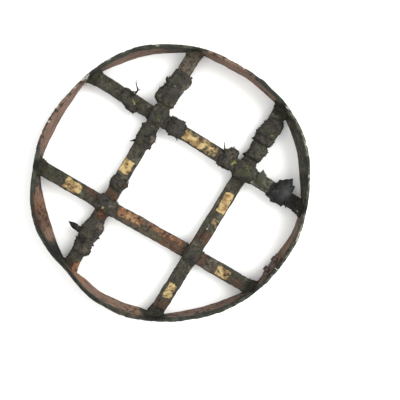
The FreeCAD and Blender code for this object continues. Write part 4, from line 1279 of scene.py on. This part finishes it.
class HoopSizes(bpy.types.PropertyGroup):
    """Sizes of the finish."""

    grain_depth: FloatProperty(name="Grain depth", description="Depth of the finest relief, in millimetres",
                               default=0.28, min=0.0, max=2.0)
    camera_height: FloatProperty(name="Camera height", description="Camera above the floor", default=0.55,
                                 subtype="DISTANCE", unit="LENGTH")
    camera_turn: FloatProperty(name="Camera turn", description="Turn of the camera about the hoop's axis",
                               default=math.radians(31.15), subtype="ANGLE", unit="ROTATION")
    lens: FloatProperty(name="Lens", description="Focal length in millimetres", default=49.74, min=1.0)
    floor_width: FloatProperty(name="Floor width", description="Side of the floor", default=6.0,
                               subtype="DISTANCE", unit="LENGTH")
    key_power: FloatProperty(name="Key light", description="Power of the large light in watts", default=44.0)
    fill_power: FloatProperty(name="Fill light", description="Power of the second light in watts",
                              default=10.0)
    sky_strength: FloatProperty(name="Sky", description="Strength of the even light all round", default=1.07)


class HoopShades(bpy.types.PropertyGroup):
    """Colours of the finish."""

    wood_dark: shade("Dark wood", "Grain and pits of the bars", "1a1814")
    wood: shade("Wood", "Stained face of the bars", "312e28")
    wood_green: shade("Green wood", "Green cast on the bars", "2d2f23")
    wood_light: shade("Light wood", "Worn face of the bars", "545045")
    rim_dark: shade("Dark rim", "Deepest colour of the band's edge", "181915")
    rim: shade("Rim", "The band's edge", "2b2d26")
    rim_light: shade("Light rim", "Scuffs on the band's edge", "45473d")
    # growth_dark is also laid in the growths' folds as painted shade
    growth_dark: shade("Dark growth", "Folds of the growths", "11110e")
    growth: shade("Growth", "Face of the growths", "2a2824")
    growth_green: shade("Green growth", "Green cast on the growths", "28291b")
    growth_grey: shade("Grey growth", "Purple-grey cast on the growths", "383434")
    growth_light: shade("Light growth", "Ridges of the growths", "47443c")
    rust_dark: shade("Dark rust", "Dull brown-red", "34241e")
    rust: shade("Rust", "Brown-red", "543c2e")
    blush_dark: shade("Dark blush", "Brown stain inside the band", "463227")
    blush: shade("Blush", "Pale red-brown stain inside the band", "7a6254")
    orange: shade("Orange rust", "Bright rust", "7e573d")
    tan: shade("Bare wood", "Wood where the paint has gone", "745c3c")
    tan_pale: shade("Pale bare wood", "Lightest bare wood", "ad9768")
    moss_dark: shade("Dark moss", "Moss in shade", "2a2c1e")
    moss: shade("Moss", "Dull green moss", "47492f")
    sprig: shade("Sprig", "Bright green moss", "84834d")
    buff_dark: shade("Dark buff", "Dull brown cast", "3a332c")
    # buff also serves as painted highlight on the growths' right and upper flanks
    buff: shade("Buff", "Pale brown cast", "595146")
    soot: shade("Soot", "Nearly black stain", "12110f")
    ashen: shade("Ash", "Grey bloom", "6d6c60")
    ashen_green: shade("Green ash", "Grey-green bloom", "525243")
    pale: shade("Chip", "White chips at the edge", "a4a194")
    # leaf_dark is also laid in the leaf bundle's creases as painted shade
    leaf_dark: shade("Dark leaf", "Folds of the black leaves", "0d0d0d")
    leaf: shade("Leaf", "Face of the black leaves", "151615")
    # leaf_bloom_and_highlight is also the grey of the painted highlight on the leaf bundle
    leaf_bloom_and_highlight: shade("Light leaf", "Bloom on the black leaves", "3a3b39")
    paper: shade("Paper", "Floor", "f8f8f6")


# ---------------------------------------------------------------- operators
def settings():
    """The scene's colours and sizes."""
    scene = bpy.context.scene
    return scene.hoop_shades, scene.hoop_sizes


class HOOP_OT_band(bpy.types.Operator):
    """Build the bent band"""

    bl_idname = "hoop.band"
    bl_label = "Band"

    def execute(self, context):
        make_piece("band", band_shell(), band_material(*settings()), ["hoop_band"])
        return {"FINISHED"}


class HOOP_OT_bars(bpy.types.Operator):
    """Build the four woven bars"""

    bl_idname = "hoop.bars"
    bl_label = "Bars"

    def execute(self, context):
        material = bar_material(*settings())
        for number, (name, bar) in enumerate(ALL_BARS.items()):
            make_piece(name, bar_shell(bar, 100 + 40 * number), material, [name + "_bar"])
        return {"FINISHED"}


class HOOP_OT_fillers(bpy.types.Operator):
    """Build the filler round the eight bar ends"""

    bl_idname = "hoop.fillers"
    bl_label = "Fillers"

    def execute(self, context):
        material = filler_material(*settings())
        names = sorted(name for name in FRAME_NODES if name.startswith("putty_"))
        for number, name in enumerate(names):
            shell = filler_shell(name, 300 + 17 * number)
            make_piece(name.replace("putty", "filler"), shell, material, [name])
        return {"FINISHED"}


class HOOP_OT_crossings(bpy.types.Operator):
    """Build the growths over the four crossings"""

    bl_idname = "hoop.crossings"
    bl_label = "Crossing growths"

    def execute(self, context):
        material = growth_material(*settings())
        for number, name in enumerate(CROSSINGS):
            shell = crossing_shell(name, 500 + 23 * number)
            make_piece(name + "_growth", shell, material, [name + "_crossing_lump"])
        return {"FINISHED"}


class HOOP_OT_knots(bpy.types.Operator):
    """Build the growths wrapped round the bars"""

    bl_idname = "hoop.knots"
    bl_label = "Wrapped growths"

    def execute(self, context):
        material = growth_material(*settings())
        for number, name in enumerate(KNOTS):
            make_piece(name + "_growth", knot_shell(name, 700 + 19 * number), material, [name])
        return {"FINISHED"}


class HOOP_OT_leaves(bpy.types.Operator):
    """Build the bundle of black leaves and the green flap"""

    bl_idname = "hoop.leaves"
    bl_label = "Leaves"

    def execute(self, context):
        make_piece("black_leaf_bundle", bundle_shell(), leaf_material(*settings()),
                   ["leaf_bundle"])
        flap = blade((76.4, 41.6, 14.4), (69.6, 57.4, 18.2), 11.5, (0.15, -0.3, 1.0), -0.4, 1.6, 0.8, 0.3,
                     841, blunt=1.0)
        under = blade((72.0, 41.0, 13.0), (67.4, 51.0, 15.6), 8.0, (-0.2, -0.2, 1.0), -0.5, 1.2, 0.7, 0.4,
                      842)
        make_piece("green_flap", gathered([flap, under]), green_leaf_material(*settings()),
                   ["upper_cross_flap"])
        return {"FINISHED"}


class HOOP_OT_twigs(bpy.types.Operator):
    """Build the twigs and thorns"""

    bl_idname = "hoop.twigs"
    bl_label = "Twigs and thorns"

    def execute(self, context):
        material = twig_material(*settings())
        forked = gathered([
            twig([(-76.0, 50.5, 11.0), (-74.4, 55.7, 13.2), (-73.4, 61.0, 14.8), (-77.6, 64.2, 15.6),
                  (-80.2, 68.2, 16.4)], [1.15, 0.95, 0.8, 0.62, 0.3], 901),
            twig([(-75.2, 53.0, 12.2), (-78.2, 56.0, 13.6), (-80.4, 57.4, 14.0)], [0.8, 0.65, 0.3], 902),
            twig([(-73.8, 60.0, 14.5), (-72.0, 62.5, 15.4)], [0.6, 0.3], 903),
        ])
        make_piece("forked_twig", forked, material, ["upper_cross_twig"])
        thorn = gathered([
            blade((-49.0, 79.5, 14.0), (-56.4, 86.6, 15.0), 4.4, (0.2, 0.2, 1.0), -0.2, 0.3, 1.8, 0.3, 911,
                  blunt=0.15, rows=16, columns=9),
            blade((-49.0, 76.5, 13.0), (-55.0, 80.4, 13.6), 4.4, (0.2, 0.2, 1.0), -0.3, 0.3, 1.6, 0.3, 912,
                  blunt=0.2, rows=16, columns=9),
        ])
        make_piece("knot_thorn", thorn, material, ["top_knot_thorn"])
        swelling = twig([(-48.8, 20.0, 12.6), (-52.4, 16.6, 13.0), (-54.6, 14.4, 13.2)],
                        [1.7, 1.1, 0.35], 921)
        make_piece("swelling_spur", swelling, material, ["swelling_thorn"])
        spike = gathered([
            blade((-49.0, -85.4, 10.6), (-66.0, -83.0, 12.8), 6.4, (0.0, 0.1, 1.0), -0.5, 0.6, 1.6, 0.3, 931,
                  blunt=1.0, rows=22, columns=9),
            twig([(-49.0, -87.4, 9.6), (-54.0, -86.4, 10.4), (-58.6, -85.6, 11.0)], [1.3, 0.9, 0.3], 932),
        ])
        make_piece("black_spike", spike, material, ["foot_spike"])
        bristle = twig([(30.8, 50.4, 14.6), (27.6, 55.4, 16.2), (24.0, 60.4, 17.6)], [1.1, 0.8, 0.35], 941)
        make_piece("bristle", bristle, material, ["mid_knot_bristle"])
        hook = twig([(101.8, 43.8, 14.6), (105.0, 41.6, 15.0), (105.4, 39.2, 15.2), (108.6, 36.8, 15.0)],
                    [1.0, 0.85, 0.7, 0.35], 951)
        make_piece("hook_twig", hook, material, ["bundle_hook_twig"])
        return {"FINISHED"}


class HOOP_OT_fasteners(bpy.types.Operator):
    """Give the pins, rivets and splice plate their finishes"""

    bl_idname = "hoop.fasteners"
    bl_label = "Fasteners"

    def execute(self, context):
        iron, sheet = iron_material(*settings()), splice_material(*settings())
        for name in ("crossing_rivets", "bar_end_pins", "splice_rivets"):
            FRAME_NODES[name].material_slots[0].material = iron
        FRAME_NODES["splice_plate"].material_slots[0].material = sheet
        return {"FINISHED"}


# the lights: name, how wide each is and where it stands, in metres
LIGHTS = (("key", 1.5, (0.95, 1.05, 1.15)), ("fill", 1.8, (-0.2, -1.0, 1.4)))
# how far the floor lies under the object, and the nearest thing the camera sees, in metres
FLOOR_DROP = 0.0004
NEAREST = 0.01
# how far the camera's picture is moved sideways and up, as shares of its width
CAMERA_SHIFT = (0.0736, -0.0426)


class HOOP_OT_stage(bpy.types.Operator):
    """Set out the floor, the lights and the camera"""

    bl_idname = "hoop.stage"
    bl_label = "Stage"

    def execute(self, context):
        shades, sizes = settings()
        half = sizes.floor_width / 2
        corners = [(-half, -half, 0.0), (half, -half, 0.0), (half, half, 0.0), (-half, half, 0.0)]
        mesh = bpy.data.meshes.new("floor")
        mesh.from_pydata(corners, [], [(0, 1, 2, 3)])
        mesh.materials.append(floor_material(shades))
        floor = bpy.data.objects.new("floor", mesh)
        floor.location.z = -FLOOR_DROP
        context.scene.collection.objects.link(floor)
        world = bpy.data.worlds.new("even_sky")
        world.use_nodes = True
        world.node_tree.nodes["Background"].inputs["Color"].default_value = (1.0, 1.0, 1.0, 1.0)
        world.node_tree.nodes["Background"].inputs["Strength"].default_value = sizes.sky_strength
        context.scene.world = world
        powers = {"key": sizes.key_power, "fill": sizes.fill_power}
        for name, wide, place in LIGHTS:
            lamp = bpy.data.lights.new(name, "AREA")
            lamp.energy, lamp.size = powers[name], wide
            light = bpy.data.objects.new(name, lamp)
            aim = (Vector((0.0, 0.0, 0.0)) - Vector(place)).to_track_quat("-Z", "Y").to_matrix().to_4x4()
            light.matrix_world = Matrix.Translation(place) @ aim
            context.scene.collection.objects.link(light)
        lens = bpy.data.cameras.new("camera")
        lens.lens, lens.clip_start = sizes.lens, NEAREST
        lens.shift_x, lens.shift_y = CAMERA_SHIFT
        camera = bpy.data.objects.new("camera", lens)
        camera.matrix_world = (Matrix.Translation((0.0, 0.0, sizes.camera_height))
                               @ Matrix.Rotation(sizes.camera_turn, 4, "Z"))
        context.scene.collection.objects.link(camera)
        context.scene.camera = camera
        context.scene.view_settings.view_transform = "Standard"
        return {"FINISHED"}


OPERATORS = (HOOP_OT_band, HOOP_OT_bars, HOOP_OT_fillers, HOOP_OT_crossings, HOOP_OT_knots, HOOP_OT_leaves,
             HOOP_OT_twigs, HOOP_OT_fasteners, HOOP_OT_stage)


class HOOP_PT_panel(bpy.types.Panel):
    """The hoop's pieces, sizes and colours"""

    bl_idname = "HOOP_PT_panel"
    bl_label = "Lattice hoop"
    bl_space_type = "VIEW_3D"
    bl_region_type = "UI"
    bl_category = "Hoop"

    def draw(self, context):
        for operator in OPERATORS:
            self.layout.operator(operator.bl_idname)
        for group in (context.scene.hoop_sizes, context.scene.hoop_shades):
            for name in group.__annotations__:
                self.layout.prop(group, name)


CLASSES = (HoopSizes, HoopShades, *OPERATORS, HOOP_PT_panel)


def register():
    """Add the classes, and the scene's sizes and colours."""
    for each in CLASSES:
        bpy.utils.register_class(each)
    bpy.types.Scene.hoop_sizes = PointerProperty(type=HoopSizes)
    bpy.types.Scene.hoop_shades = PointerProperty(type=HoopShades)


def unregister():
    """Take them away again."""
    del bpy.types.Scene.hoop_shades
    del bpy.types.Scene.hoop_sizes
    for each in reversed(CLASSES):
        bpy.utils.unregister_class(each)


def main():
    """Build every piece in order."""
    register()
    for operator in OPERATORS:
        group, name = operator.bl_idname.split(".")
        getattr(getattr(bpy.ops, group), name)()


if __name__ == "__main__":
    main()
